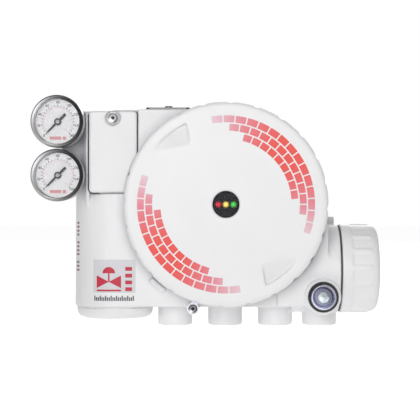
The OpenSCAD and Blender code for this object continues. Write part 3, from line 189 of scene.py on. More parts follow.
class PrintLook(bpy.types.PropertyGroup):
    """Printed crescents on the main cover, and the label's ink"""

    strong: FloatVectorProperty(
        name="Strong", description="Ink in the middle of a crescent", subtype="COLOR", size=3,
        default=(0.79, 0.050, 0.036), min=0, max=1)
    middle: FloatVectorProperty(
        name="Middle", description="Ink between the middle and the ends", subtype="COLOR", size=3,
        default=(0.75, 0.21, 0.26), min=0, max=1)
    pale: FloatVectorProperty(
        name="Pale", description="Ink at the ends of a crescent", subtype="COLOR", size=3,
        default=(0.77, 0.57, 0.64), min=0, max=1)
    label: FloatVectorProperty(
        name="Label red", description="Ink of the label's symbol", subtype="COLOR", size=3,
        default=(0.55, 0.028, 0.055), min=0, max=1)
    inner: FloatProperty(
        name="Inner radius", description="Radius where the tiles start", unit="LENGTH", default=49.2 * MM)
    row: FloatProperty(
        name="Row", description="Depth of a row of tiles", unit="LENGTH", default=5.2 * MM)
    gap: FloatProperty(
        name="Gap", description="Bare width between tiles", unit="LENGTH", default=1.0 * MM)
    rows: IntProperty(name="Rows", description="Rows of tiles in a crescent", default=3, min=1)
    pitch: FloatProperty(
        name="Pitch", description="Angle from tile to tile", subtype="ANGLE", default=math.radians(8))
    reach: FloatProperty(
        name="Reach", description="Half the angle of the outer row", subtype="ANGLE",
        default=math.radians(60))
    centre: FloatProperty(
        name="Centre", description="Direction of the first crescent's middle", subtype="ANGLE",
        default=math.radians(40))
    film: FloatProperty(
        name="Film", description="Thickness of the printed film", unit="LENGTH", default=0.08 * MM)


class DialLook(bpy.types.PropertyGroup):
    """Printed scales of the two gauges"""

    ink: FloatVectorProperty(
        name="Ink", description="Outer scale's ink", subtype="COLOR", size=3,
        default=(0.02, 0.02, 0.025), min=0, max=1)
    second_ink: FloatVectorProperty(
        name="Second ink", description="Inner scale's ink", subtype="COLOR", size=3,
        default=(0.80, 0.50, 0.54), min=0, max=1)
    bar_ink: FloatVectorProperty(
        name="Bar ink", description="Ink of the plain bars under the hub", subtype="COLOR", size=3,
        default=(0.76, 0.30, 0.34), min=0, max=1)
    start: FloatProperty(
        name="Start", description="Direction of zero", subtype="ANGLE", default=math.radians(225))
    sweep: FloatProperty(
        name="Sweep", description="Angle of the whole scale", subtype="ANGLE", default=math.radians(270))


class StageLook(bpy.types.PropertyGroup):
    """Studio floor, lamps and surroundings"""

    ambient: FloatProperty(
        name="Ambient", description="Light from all round", default=0.21, min=0)
    key: FloatProperty(
        name="Key", description="Power of the front lamp", unit="POWER", default=16.2, min=0)
    fill: FloatProperty(
        name="Fill", description="Power of the overhead lamp", unit="POWER", default=4.0, min=0)
    back: FloatProperty(
        name="Back", description="Power of the lamp behind the object", unit="POWER", default=7.0, min=0)
    floor_lift: FloatProperty(
        name="Floor lift", description="White added to the floor where it is seen", default=0.75, min=0)
    floor_glow: FloatProperty(
        name="Floor glow", description="Share of that white that lights the object from below",
        subtype="FACTOR", default=0.42, min=0, max=1)


class Wire:
    """A value in a node tree. Arithmetic and comparisons on it add Math nodes."""

    def __init__(self, finish, socket):
        self.finish = finish
        self.socket = socket

    def math(self, operation, *values):
        return self.finish.node("ShaderNodeMath", {"operation": operation}, dict(enumerate(values)))

    def __add__(self, other):
        return self.math("ADD", self, other)

    def __radd__(self, other):
        return self.math("ADD", other, self)

    def __sub__(self, other):
        return self.math("SUBTRACT", self, other)

    def __rsub__(self, other):
        return self.math("SUBTRACT", other, self)

    def __mul__(self, other):
        return self.math("MULTIPLY", self, other)

    def __rmul__(self, other):
        return self.math("MULTIPLY", other, self)

    def __truediv__(self, other):
        return self.math("DIVIDE", self, other)

    def __pow__(self, other):
        return self.math("POWER", self, other)

    def __mod__(self, other):
        return self.math("FLOORED_MODULO", self, other)

    def __abs__(self):
        return self.math("ABSOLUTE", self)

    def __lt__(self, other):
        return self.math("LESS_THAN", self, other)

    def __gt__(self, other):
        return self.math("GREATER_THAN", self, other)

    def either(self, other):
        return self.math("MAXIMUM", self, other)


class Finish:
    """A procedural material or world: its node tree and ways to add to it."""

    def __init__(self, name, constants=None):
        self.material = bpy.data.materials.new(name)
        self.material.use_nodes = True
        self.tree = self.material.node_tree
        self.shader = self.tree.nodes["Principled BSDF"]
        for socket, value in (constants or {}).items():
            self.shader.inputs[socket].default_value = value

    def node(self, kind, settings=None, sockets=None, output=0):
        """Adds a node, with its settings set first and then its sockets, and gives one output."""
        made = self.tree.nodes.new(kind)
        for name, value in (settings or {}).items():
            if name == "stops":
                set_stops(made.color_ramp, value)
            else:
                setattr(made, name, value)
        for key, value in (sockets or {}).items():
            self.link(made.inputs[key], value)
        return Wire(self, made.outputs[output])

    def link(self, socket, value):
        if isinstance(value, Wire):
            self.tree.links.new(value.socket, socket)
        else:
            socket.default_value = value

    def feed(self, socket, value):
        self.link(self.shader.inputs[socket], value)

    def place(self):
        return self.node("ShaderNodeTexCoord", output="Object")

    def axes(self, place):
        split = self.node("ShaderNodeSeparateXYZ", sockets={"Vector": place}).socket.node
        return [Wire(self, output) for output in split.outputs]

    def noise(self, place, size, detail=2.0, distortion=0.0):
        sockets = {"Vector": place, "Scale": 1 / size, "Detail": detail, "Distortion": distortion}
        return self.node("ShaderNodeTexNoise", sockets=sockets)

    def stretched(self, place, scale):
        """The place squeezed along its axes, for grain that runs one way."""
        return self.node("ShaderNodeVectorMath", {"operation": "MULTIPLY"}, {0: place, 1: scale})

    def between(self, value, low, high):
        """0 up to a low value, rising to 1 at a high one."""
        return self.node("ShaderNodeMapRange", sockets={"Value": value, "From Min": low, "From Max": high})

    def mix(self, factor, low, high):
        """A colour between two colours."""
        return self.node("ShaderNodeMix", {"data_type": "RGBA"}, {0: factor, 6: low, 7: high}, output=2)

    def ramp(self, factor, stops):
        return self.node("ShaderNodeValToRGB", {"stops": stops}, {0: factor})

    def bump(self, height, strength, depth):
        sockets = {"Height": height, "Strength": strength, "Distance": depth}
        self.feed("Normal", self.node("ShaderNodeBump", sockets=sockets))


def set_stops(colour_ramp, stops):
    """Sets a ramp's stops, given as (place, colour)."""
    while len(colour_ramp.elements) < len(stops):
        colour_ramp.elements.new(1.0)
    for element, (place, colour) in zip(colour_ramp.elements, stops):
        element.position = place
        element.color = colour


def opaque(colour, level=1.0):
    """A colour with full alpha, made lighter or darker by level."""
    return (*(channel * level for channel in colour), 1.0)


# Finishes

def machined(x, y, z):
    """1 where the housing is left bare: its chambers, the cover's neck and the tapped ports."""
    from_axis = (x * x + z * z) ** 0.5
    bare = (from_axis < CHAMBER_R) * (y < CHAMBER_FLOOR_Y)
    bare = bare.either((from_axis < NECK_R + TAP_EDGE) * (y < DRUM_FRONT_Y - TAP_EDGE))
    depth = y - CAST_AXIS_Y
    for port_x, tap_r in [*((px, AIR_TAP_R) for px in AIR_PORTS_X), (CONDUIT_X, CONDUIT_TAP_R)]:
        aside = x - port_x
        bare = bare.either(((aside * aside + depth * depth) ** 0.5 < tap_r + TAP_EDGE) * (z < WIRING_Z))
    height = z - WIRING_Z
    from_wiring = (height * height + depth * depth) ** 0.5
    bare = bare.either((from_wiring < WIRING_BORE_R) * (x > CHAMBER_R))
    bare = bare.either((from_wiring < CAP_NECK_R + TAP_EDGE) * (x > SHOULDER_X + TAP_EDGE))
    aside = x - COLUMN_X
    from_column = (aside * aside + depth * depth) ** 0.5
    return bare.either((from_column < DRIVER_BORE_R) * (z < DRIVER_ROOF_Z))


def powder_coat(look, name, bare_places=None):
    """White satin coat with a fine peel. With bare_places, shade is painted into the crevices, stronger
    behind the gauges, and those places are bare.
    """
    coat = Finish(name, {"Specular IOR Level": 0.45, "Coat Roughness": 0.3})
    place = coat.place()
    mottle = coat.noise(place, 22 * MM, detail=3)
    peel = coat.noise(place, look.peel, detail=1)
    colour = coat.mix(mottle, opaque(look.shade), opaque(look.colour))
    roughness = look.roughness - 0.06 + 0.12 * peel
    if bare_places:
        axes = coat.axes(place)
        # Painted shade: darker where ambient occlusion finds nearby surfaces, fading out near the floor and
        # stronger behind the gauges
        opening = coat.node(
            "ShaderNodeAmbientOcclusion", {"samples": 6}, {"Distance": look.crevice}, output="AO")
        above_floor = coat.between(axes[2], WIRING_Z - SHADE_RISE, WIRING_Z)
        behind_gauges = (axes[0] < GAUGE_SHADE_X) * coat.between(axes[2], *GAUGE_SHADE_Z)
        shade = (1 - opening) * above_floor * (1 + GAUGE_SHADE * behind_gauges)
        colour = coat.mix(shade, colour, opaque(look.grime))
        bare = bare_places(*axes)
        turned = coat.noise(coat.stretched(place, (0.15, 1.0, 1.0)), 0.5 * MM, detail=2)
        bare_metal = coat.mix(turned, (0.42, 0.43, 0.45, 1), (0.62, 0.63, 0.65, 1))
        colour = coat.mix(bare, colour, bare_metal)
        roughness = roughness - 0.1 * bare
        coat.feed("Metallic", bare)
    coat.feed("Base Color", colour)
    coat.feed("Roughness", roughness)
    coat.feed("Coat Weight", 0.05 + 0.1 * mottle)
    coat.bump(peel, 0.12, 0.12 * MM)
    return coat.material


def metal(name, colour, roughness, grain=(1.0, 1.0, 1.0), size=0.6 * MM, spread=0.25):
    """Metal with a directional grain that varies its tint and its gloss."""
    made = Finish(name, {"Metallic": 1.0})
    place = made.place()
    fine = made.noise(made.stretched(place, grain), size, detail=3)
    broad = made.noise(place, 9 * MM, detail=2)
    made.feed("Base Color", made.mix(broad, opaque(colour, 1 - spread), opaque(colour)))
    made.feed("Roughness", roughness - 0.05 + 0.14 * fine)
    made.bump(fine, 0.05, 0.05 * MM)
    return made.material


def moulded(name, colour, roughness, grain=0.35 * MM, relief=0.15):
    """Moulded plastic or rubber with a fine texture and slight tint changes."""
    made = Finish(name, {"Specular IOR Level": 0.4})
    place = made.place()
    texture = made.noise(place, grain, detail=2)
    cloud = made.noise(place, 6 * MM, detail=2)
    made.feed("Base Color", made.mix(cloud, opaque(colour, 0.82), opaque(colour)))
    made.feed("Roughness", roughness - 0.06 + 0.14 * texture)
    made.bump(texture, relief, 0.05 * MM)
    return made.material


def off_axis(made, place, centre):
    """Offsets along X and Z from an axis along Y, and the distance from that axis."""
    x, _, z = made.axes(place)
    aside, up = x - centre[0], z - centre[1]
    return aside, up, (aside * aside + up * up) ** 0.5


def caught(aside, up, radius, direction, sharpness):
    """1 on the side of a ring that faces a direction, falling to 0 on the other side; it places painted
    highlights and painted shade.
    """
    toward = (aside * math.cos(direction) + up * math.sin(direction)) / radius
    return (0.5 * toward + 0.5) ** sharpness


def polished_bezel(name, centre, edge_r):
    """Polished ring painted dark in place of dark reflections, with a painted highlight at its lower left
    and another on its inner bevel at the left.
    """
    made = Finish(name, {"Metallic": 1.0})
    place = made.place()
    aside, up, radius = off_axis(made, place, centre)
    # Painted highlight on the inner bevel at the left; the outer edge stays in the dark tone that stands in
    # for reflections
    bevel = made.mix(caught(aside, up, radius, PAINTED_LIGHT_LEFT, 6), DARK_REFLECTION_TONE, (0.95, 0.95, 1.0, 1))
    ring = made.mix(radius > edge_r, bevel, DARK_REFLECTION_TONE)
    # Painted highlight low on the ring
    lit = 0.9 * caught(aside, up, radius, PAINTED_LIGHT_LOW, 4)
    made.feed("Base Color", made.mix(lit, ring, (0.38, 0.38, 0.37, 1)))
    made.feed("Roughness", 0.26 + 0.1 * made.noise(place, 2 * MM))
    return made.material


def plated_plug(name, centre, radius):
    """Plated plug with painted reflections, a light rim, a dark dish and a light middle, and painted shade
    on the side away from its lower left; fine turning marks vary its gloss.
    """
    made = Finish(name, {"Metallic": 1.0})
    aside, up, off = off_axis(made, made.place(), centre)
    rings = made.noise(made.node("ShaderNodeCombineXYZ", sockets={0: off}), 0.25 * MM, detail=1)
    # Rings of painted reflection from the middle out: light middle, dark dish, light rim and dark edge
    stops = [
        (0.0, (0.34, 0.38, 0.38, 1)), (0.18, (0.52, 0.58, 0.58, 1)), (0.34, (0.46, 0.51, 0.53, 1)),
        (0.46, (0.15, 0.16, 0.21, 1)), (0.64, (0.20, 0.21, 0.29, 1)), (0.76, (0.44, 0.44, 0.54, 1)),
        (0.90, (0.50, 0.50, 0.60, 1)), (0.99, (0.10, 0.10, 0.12, 1)),
    ]
    # Painted shade on the side away from the lower left
    shaded_side = 1 - caught(aside, up, off, PAINTED_LIGHT_LOW, 2)
    made.feed("Base Color", made.mix(0.6 * shaded_side, made.ramp(off / radius, stops), (0.05, 0.05, 0.065, 1)))
    made.feed("Roughness", 0.16 + 0.12 * rings)
    return made.material


def socket_screw(name, centre, radius):
    """Screw head painted dark in place of dark reflections, with painted shade in its socket, a lighter ring
    and a painted highlight on its rim below.
    """
    made = Finish(name, {"Metallic": 1.0})
    place = made.place()
    aside, up, off = off_axis(made, place, centre)
    # Painted shade in the socket, then a lighter ring and a dark edge
    stops = [
        (0.0, (0.012, 0.012, 0.013, 1)), (0.36, (0.015, 0.015, 0.016, 1)), (0.44, (0.13, 0.13, 0.135, 1)),
        (0.70, (0.09, 0.09, 0.095, 1)), (0.92, (0.02, 0.02, 0.022, 1)),
    ]
    # Painted highlight on the rim below
    rim_highlight = caught(aside, up, off, PAINTED_LIGHT_LOW, 11) * (off > 0.44 * radius)
    made.feed("Base Color", made.mix(rim_highlight, made.ramp(off / radius, stops), (0.42, 0.42, 0.44, 1)))
    made.feed("Roughness", 0.22 + 0.12 * made.noise(place, 0.6 * MM))
    return made.material


def solder_mask(name, colour):
    """Circuit board with raised copper tracks under a green mask."""
    made = Finish(name, {"Coat Roughness": 0.2})
    place = made.place()
    x, y, z = made.axes(place)
    region = made.noise(place, 12 * MM, detail=0)
    along_x = (z % (1.4 * MM) < 0.5 * MM) * (region > 0.54)
    along_z = ((x + y) % (1.4 * MM) < 0.5 * MM) * (region < 0.44)
    tracks = along_x.either(along_z)
    cloud = made.noise(place, 5 * MM)
    base = made.mix(cloud, opaque(colour, 0.8), opaque(colour))
    made.feed("Base Color", made.mix(tracks, base, opaque(colour, 1.7)))
    made.feed("Roughness", 0.42 - 0.12 * tracks)
    made.feed("Coat Weight", 0.2 + 0.2 * cloud)
    made.bump(tracks, 0.3, 0.05 * MM)
    return made.material


def smoked_plastic(name, colour, alpha):
    """Polished tinted plastic that lets the lights behind it show."""
    made = Finish(name, {"Alpha": alpha, "Specular IOR Level": 0.06})
    smear = made.noise(made.place(), 3 * MM, detail=3)
    made.feed("Base Color", made.mix(smear, opaque(colour, 0.8), opaque(colour)))
    made.feed("Roughness", 0.06 + 0.08 * smear)
    return made.material


def lit_guide(name, centre, radius, core, colour, strength):
    """Tinted light guide that glows most in the middle of its tip."""
    made = Finish(name, {"Roughness": 0.25, "Emission Strength": strength})
    place = made.place()
    cloud = made.noise(place, 1.5 * MM, detail=1)
    _, _, off = off_axis(made, place, centre)
    stops = [(0.0, opaque(core)), (0.45, opaque(colour)), (0.98, opaque(colour, 0.12))]
    made.feed("Base Color", made.mix(cloud, opaque(colour, 0.5), opaque(colour, 0.6)))
    made.feed("Emission Color", made.ramp(off / radius, stops))
    return made.material


def gauge_glass(name):
    """Clear flat glass that keeps a faint reflection."""
    made = Finish(name, {"Alpha": 0.04, "Base Color": (0.95, 0.97, 1.0, 1), "Specular IOR Level": 0.3})
    smear = made.noise(made.place(), 7 * MM, detail=3)
    made.feed("Roughness", 0.02 + 0.05 * smear)
    return made.material


def printed_ink(name, colour):
    """Flat ink with a slightly uneven film."""
    made = Finish(name, {"Specular IOR Level": 0.35})
    film = made.noise(made.place(), 0.8 * MM, detail=2)
    made.feed("Base Color", made.mix(film, opaque(colour, 0.88), opaque(colour)))
    made.feed("Roughness", 0.4 + 0.12 * film)
    return made.material


def crescent_ink(look):
    """Ink that fades from the middle of each crescent to its ends."""
    made = Finish("crescent_ink", {"Specular IOR Level": 0.35})
    place = made.place()
    x, _, z = made.axes(place)
    toward = abs(x * math.cos(look.centre) + z * math.sin(look.centre)) / (x * x + z * z) ** 0.5
    end = math.cos(look.reach)
    fade = (toward - end) / (1 - end)
    film = made.noise(place, 0.8 * MM, detail=2)
    stops = [(0.0, opaque(look.pale)), (0.55, opaque(look.middle)), (0.97, opaque(look.strong))]
    ink = made.ramp(fade, stops)
    made.feed("Base Color", made.mix(0.06 * film, ink, (0.9, 0.85, 0.86, 1)))
    made.feed("Roughness", 0.36 + 0.12 * film)
    return made.material


def slot_finishes(coat):
    """A finish for each material slot of the record, apart from the coated castings."""
    return {
        "white_coat": powder_coat(coat, "powder_coat"),
        # Stainless painted dark in place of the dark surroundings it would reflect
        "stainless": metal("satin_stainless", (0.055, 0.055, 0.058), 0.22, grain=(1, 0.2, 1), spread=0.4),
        "plug_metal": plated_plug("plated_plug", *ring_place("conduit_plug")),
        "black_rubber": moulded("black_rubber", (0.018, 0.018, 0.019), 0.62, relief=0.25),
        "bare_aluminium": metal("machined_aluminium", (0.64, 0.65, 0.67), 0.34, grain=(0.2, 1, 1)),
        "bronze": metal("sintered_bronze", (0.52, 0.35, 0.16), 0.48, size=0.3 * MM, spread=0.4),
        "gauge_brass": metal("turned_brass", (0.68, 0.50, 0.22), 0.26, grain=(1, 0.2, 1)),
        "board_green": solder_mask("solder_mask", (0.02, 0.16, 0.07)),
        "black_plastic": moulded("black_plastic", (0.022, 0.022, 0.025), 0.45),
        "terminal_green": moulded("terminal_green", (0.05, 0.28, 0.10), 0.42),
        "smoked_window": smoked_plastic("smoked_window", (0.016, 0.016, 0.021), 0.72),
        "red_guide": lit_guide(
            "red_light", *ring_place("red_light_guide"), (0.80, 0.04, 0.06), (0.72, 0.02, 0.035), 12.5),
        "yellow_guide": lit_guide(
            "yellow_light", *ring_place("yellow_light_guide"), (1.0, 0.92, 0.34), (0.95, 0.66, 0.10), 15.0),
        "green_guide": lit_guide(
            "green_light", *ring_place("green_light_guide"), (0.12, 0.80, 0.13), (0.05, 0.62, 0.06), 13.0),
        "red_button": moulded("red_button", (0.52, 0.02, 0.02), 0.38),
        "pale_button": moulded("pale_button", (0.62, 0.62, 0.60), 0.4),
        "selector_cream": moulded("selector_cream", (0.70, 0.66, 0.54), 0.42),
        "gauge_steel": metal("gauge_case_steel", (0.68, 0.67, 0.66), 0.34, grain=(1, 0.15, 1), spread=0.1),
        "dial_white": moulded("dial_enamel", (0.90, 0.895, 0.915), 0.4, relief=0.03),
        "gauge_glass": gauge_glass("gauge_glass"),
        "needle_black": moulded("needle_enamel", (0.006, 0.006, 0.007), 0.75, relief=0.03),
    }


def ring_place(node):
    """Axis, as (x, z), and radius of a round piece that faces the front."""
    low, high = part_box(node)
    return ((low.x + high.x) / 2, (low.z + high.z) / 2), (high.x - low.x) / 2


# Mesh helpers

def add_piece(name, shape, finish, body):
    """Turns a finished bmesh into a piece that rides a body of the frame."""
    bmesh.ops.recalc_face_normals(shape, faces=shape.faces)
    mesh = bpy.data.meshes.new(name)
    shape.to_mesh(mesh)
    shape.free()
    mesh.materials.append(finish)
    piece = bpy.data.objects.new(name, mesh)
    bpy.context.scene.collection.objects.link(piece)
    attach(piece, body)
    return piece


def add_prism(shape, outline, back, front):
    """Closed flat prism: an outline of (x, z) points between two Y values."""
    layers = [[shape.verts.new((x, y, z)) for x, z in outline] for y in (back, front)]
    shape.faces.new(layers[0])
    shape.faces.new(reversed(layers[1]))
    count = len(outline)
    for i in range(count):
        j = (i + 1) % count
        shape.faces.new((layers[0][j], layers[0][i], layers[1][i], layers[1][j]))


def rectangle(left, right, low, high):
    """Outline of a rectangle, as (x, z) points."""
    return [(left, low), (right, low), (right, high), (left, high)]


def disc(radius, centre, steps=32):
    """Outline of a disc, as (x, z) points."""
    turns = [math.tau * i / steps for i in range(steps)]
    return [(centre[0] + radius * math.cos(a), centre[1] + radius * math.sin(a)) for a in turns]


def sector(inner, outer, start, end, steps, centre=(0.0, 0.0)):
    """Outline of a piece of a ring, as (x, z) points."""
    turns = [start + (end - start) * i / steps for i in range(steps + 1)]
    out = [(centre[0] + outer * math.cos(a), centre[1] + outer * math.sin(a)) for a in turns]
    back = [(centre[0] + inner * math.cos(a), centre[1] + inner * math.sin(a)) for a in reversed(turns)]
    return out + back


def add_numeral(shape, words, height, place, film):
    """Adds a raised numeral that faces the front."""
    curve = bpy.data.curves.new("numeral", "FONT")
    curve.body = words
    curve.size = height
    curve.align_x = "CENTER"
    curve.align_y = "CENTER"
    curve.extrude = film
    curve.offset = 0.02 * height
    holder = bpy.data.objects.new("numeral", curve)
    bpy.context.scene.collection.objects.link(holder)
    graph = bpy.context.evaluated_depsgraph_get()
    mesh = bpy.data.meshes.new_from_object(holder.evaluated_get(graph))
    mesh.transform(Matrix.Translation(place) @ Matrix.Rotation(math.radians(90), 4, "X"))
    shape.from_mesh(mesh)
    bpy.data.objects.remove(holder)
    bpy.data.curves.remove(curve)
    bpy.data.meshes.remove(mesh)


def add_thread(shape, origin, along, radius, length, pitch, crest):
    """Adds a helical ridge about an axis. Its foot is at radius, and its crest stands out, or in."""
    root = -math.copysign(THREAD_ROOT, crest)
    half = 0.36 * pitch
    turn = Vector(along).to_track_quat("Z", "Y").to_matrix()
    steps = int(THREAD_STEPS * length / pitch)
    rings = []
    for i in range(steps + 1):
        angle = math.tau * i / THREAD_STEPS
        rise = pitch * i / THREAD_STEPS
        ease = min(1.0, i / THREAD_STEPS, (steps - i) / THREAD_STEPS)
        section = [(radius + root, -half), (radius + crest * ease, 0.0), (radius + root, half)]
        points = [Vector((r * math.cos(angle), r * math.sin(angle), rise + h)) for r, h in section]
        rings.append([shape.verts.new(Vector(origin) + turn @ p) for p in points])
    for first, second in zip(rings, rings[1:]):
        for i in range(3):
            j = (i + 1) % 3
            shape.faces.new((first[i], first[j], second[j], second[i]))
    shape.faces.new(reversed(rings[0]))
    shape.faces.new(rings[-1])


def lay_on_housing(shape, lift):
    """Moves each point along Y to just in front of the housing's surface."""
    far_y = 2 * BODY_LOW.y
    for vert in shape.verts:
        start = Vector((vert.co.x, far_y, vert.co.z))
        hit, where, _, _ = NODES["housing"].ray_cast(start, Vector((0, 1, 0)))
        if not hit:
            raise RuntimeError("a printed mark lies beside the housing")
        vert.co.y = where.y - lift


# Operators

class POSITIONER_OT_castings(bpy.types.Operator):
    """Soften the cast pieces and coat them"""

    bl_idname = "positioner.castings"
    bl_label = "Castings"

    def execute(self, context):
        look = context.scene.coat_look
        plain = powder_coat(look, "cover_coat")
        finishes = {"housing": powder_coat(look, "housing_coat", machined)}
        for name in ("housing", "main_cover", "spool_cover", "driver_cover", "wiring_cap"):
            casting = NODES[name]
            set_finish(casting, finishes.get(name, plain))
            soften(casting, look)
        return {"FINISHED"}


def soften(casting, look):
    """Rounds a casting's edges by remeshing and smoothing it, with no more faces than asked."""
    remesh = casting.modifiers.new("casting_skin", "REMESH")
    remesh.mode = "VOXEL"
    remesh.voxel_size = look.voxel
    remesh.use_smooth_shade = True
    smooth = casting.modifiers.new("casting_edges", "SMOOTH")
    smooth.factor = 0.5
    smooth.iterations = look.passes
    graph = bpy.context.evaluated_depsgraph_get()
    triangles = 2 * len(casting.evaluated_get(graph).data.polygons)
    if triangles > look.faces:
        thin = casting.modifiers.new("casting_faces", "DECIMATE")
        thin.ratio = look.faces / triangles
    casting.modifiers.new("casting_shading", "WEIGHTED_NORMAL")


def set_finish(piece, finish):
    """Gives a piece one finish all over."""
    piece.data.materials.clear()
    piece.data.materials.append(finish)


class POSITIONER_OT_fittings(bpy.types.Operator):
    """Give every other piece of the frame the finish of its material slot"""

    bl_idname = "positioner.fittings"
    bl_label = "Fittings"

    def execute(self, context):
        finishes = slot_finishes(context.scene.coat_look)
        special = {
            "cover_lock_clip": metal("plated_clip", (0.46, 0.46, 0.50), 0.36),
            "cover_lock_screw": socket_screw("lock_screw_head", *ring_place("cover_lock_screw")),
            "spool_cover_screw": socket_screw("spool_screw_head", *ring_place("spool_cover_screw")),
            # Steel painted dark in place of the dark surroundings it would reflect
            "vent_plate": metal("vent_steel", (0.085, 0.085, 0.09), 0.3),
            "spool_cover_gasket": moulded("fibre_gasket", (0.10, 0.10, 0.105), 0.7, relief=0.25),
            "wiring_cap_seal": moulded("grey_rubber", (0.06, 0.06, 0.065), 0.62, relief=0.25),
        }
        for part in frame["record"]["subparts"]:
            name, slot = part["node"], part["material_slot"]
            if slot == "bezel_steel":
                centre, radius = ring_place(name)
                set_finish(NODES[name], polished_bezel(name + "_steel", centre, radius - BEZEL_EDGE))
            elif name in special:
                set_finish(NODES[name], special[name])
            elif "casting_skin" not in NODES[name].modifiers:
                set_finish(NODES[name], finishes[slot])
        return {"FINISHED"}


class POSITIONER_OT_bowl_bead(bpy.types.Operator):
    """Fill the seam over the driver cover with a coated bead"""

    bl_idname = "positioner.bowl_bead"
    bl_label = "Bowl bead"

    def execute(self, context):
        centre = Vector((COLUMN_X, CAST_AXIS_Y, BEAD_Z))
        outer = (BOWL_HIGH.x - BOWL_LOW.x) / 2 + BEAD_OVER
        shape = bmesh.new()
        add_ring(shape, centre, outer - BEAD_DEPTH, outer, BEAD_RISE)
        coat = powder_coat(context.scene.coat_look, "bead_coat")
        add_piece("bowl_bead", shape, coat, "driver_cover")
        return {"FINISHED"}


def add_ring(shape, centre, inner, outer, rise):
    """A flat ring about Z that stands on its centre's height."""
    corners = ((inner, 0.0), (outer, 0.0), (outer, rise), (inner, rise))
    verts = [shape.verts.new(centre + Vector((r, 0.0, h))) for r, h in corners]
    edges = [shape.edges.new((verts[i], verts[(i + 1) % 4])) for i in range(4)]
    bmesh.ops.spin(
        shape, geom=[*verts, *edges], cent=centre, axis=(0, 0, 1), angle=math.tau, steps=96, use_merge=True)


class POSITIONER_OT_cover_print(bpy.types.Operator):
    """Print two crescents of tiles on the main cover"""

    bl_idname = "positioner.cover_print"
    bl_label = "Cover print"

    def execute(self, context):
        look = context.scene.print_look
        shape = bmesh.new()
        for half_turn in range(2):
            middle = look.centre + half_turn * math.pi
            for row in range(look.rows):
                add_tile_row(shape, look, middle, row)
        add_piece("cover_crescents", shape, crescent_ink(look), "main_cover")
        return {"FINISHED"}


def add_tile_row(shape, look, middle, row):
    """One row of tiles, shorter towards the cover's middle and set half a tile aside from the next row."""
    inner = look.inner + row * (look.row + look.gap)
    outer = inner + look.row
    reach = look.reach * (1 - 0.2 * (look.rows - 1 - row))
    count = int(reach / look.pitch)
    shift = 0.5 * (row % 2)
    width = look.pitch - look.gap / outer
    for k in range(-count, count + 1 - row % 2):
        angle = middle + (k + shift) * look.pitch
        outline = sector(inner, outer, angle - width / 2, angle + width / 2, 4)
        add_prism(shape, outline, COVER_FRONT + look.film, COVER_FRONT - look.film)


class POSITIONER_OT_dials(bpy.types.Operator):
    """Print the scales of the two gauges"""

    bl_idname = "positioner.dials"
    bl_label = "Gauge dials"

    def execute(self, context):
        look = context.scene.dial_look
        ink = printed_ink("dial_ink", look.ink)
        second = printed_ink("dial_second_ink", look.second_ink)
        bar_ink = printed_ink("dial_bar_ink", look.bar_ink)
        hub_grey = moulded("needle_cap_grey", (0.42, 0.42, 0.43), 0.5)
        for gauge in ("upper", "lower"):
            dial = f"{gauge}_gauge_dial"
            centre, face_y = ring_place(dial)[0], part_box(dial)[0].y
            outer = bmesh.new()
            add_scale(outer, look, centre, face_y, OUTER_SCALE)
            add_piece(f"{gauge}_gauge_scale", outer, ink, "housing")
            inner = bmesh.new()
            add_scale(inner, look, centre, face_y, INNER_SCALE)
            add_piece(f"{gauge}_gauge_inner_scale", inner, second, "housing")
            bars = bmesh.new()
            for left, right, low, high in DIAL_BARS:
                outline = rectangle(centre[0] + left, centre[0] + right, centre[1] + low, centre[1] + high)
                add_prism(bars, outline, face_y + SCALE_FILM, face_y - SCALE_FILM)
            add_piece(f"{gauge}_gauge_bars", bars, bar_ink, "housing")
            top_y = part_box(f"{gauge}_gauge_needle")[0].y
            cap = bmesh.new()
            add_prism(cap, disc(HUB_CAP_R, centre), top_y + SCALE_FILM, top_y - HUB_CAP_RISE)
            add_piece(f"{gauge}_needle_cap", cap, hub_grey, f"{gauge}_needle")
        return {"FINISHED"}


def add_scale(shape, look, centre, face_y, scale):
    """A printed arc with ticks and numerals about a dial's centre."""
    def direction(share):
        return look.start - look.sweep * share

    back, front = face_y + SCALE_FILM, face_y - SCALE_FILM
    line = scale["line"]
    arc = sector(line, line + scale["width"], direction(1), direction(0), 72, centre)
    add_prism(shape, arc, back, front)
    for tick in range(scale["ticks"] + 1):
        is_long = tick % scale["each"] == 0
        end = line + scale["long" if is_long else "short"]
        angle = direction(tick / scale["ticks"])
        half = scale["tick"] / line / (2 if is_long else 2.6)
        inner, outer = sorted((line, end))
        add_prism(shape, sector(inner, outer, angle - half, angle + half, 1, centre), back, front)
    numerals = scale["ticks"] // scale["each"]
    for k in range(numerals + 1):
        share = k / numerals
        angle = direction(share)
        place = Vector((centre[0] + scale["numerals"] * math.cos(angle), face_y,
                        centre[1] + scale["numerals"] * math.sin(angle)))
        add_numeral(shape, str(round(scale["top"] * share)), scale["height"], place, SCALE_FILM)


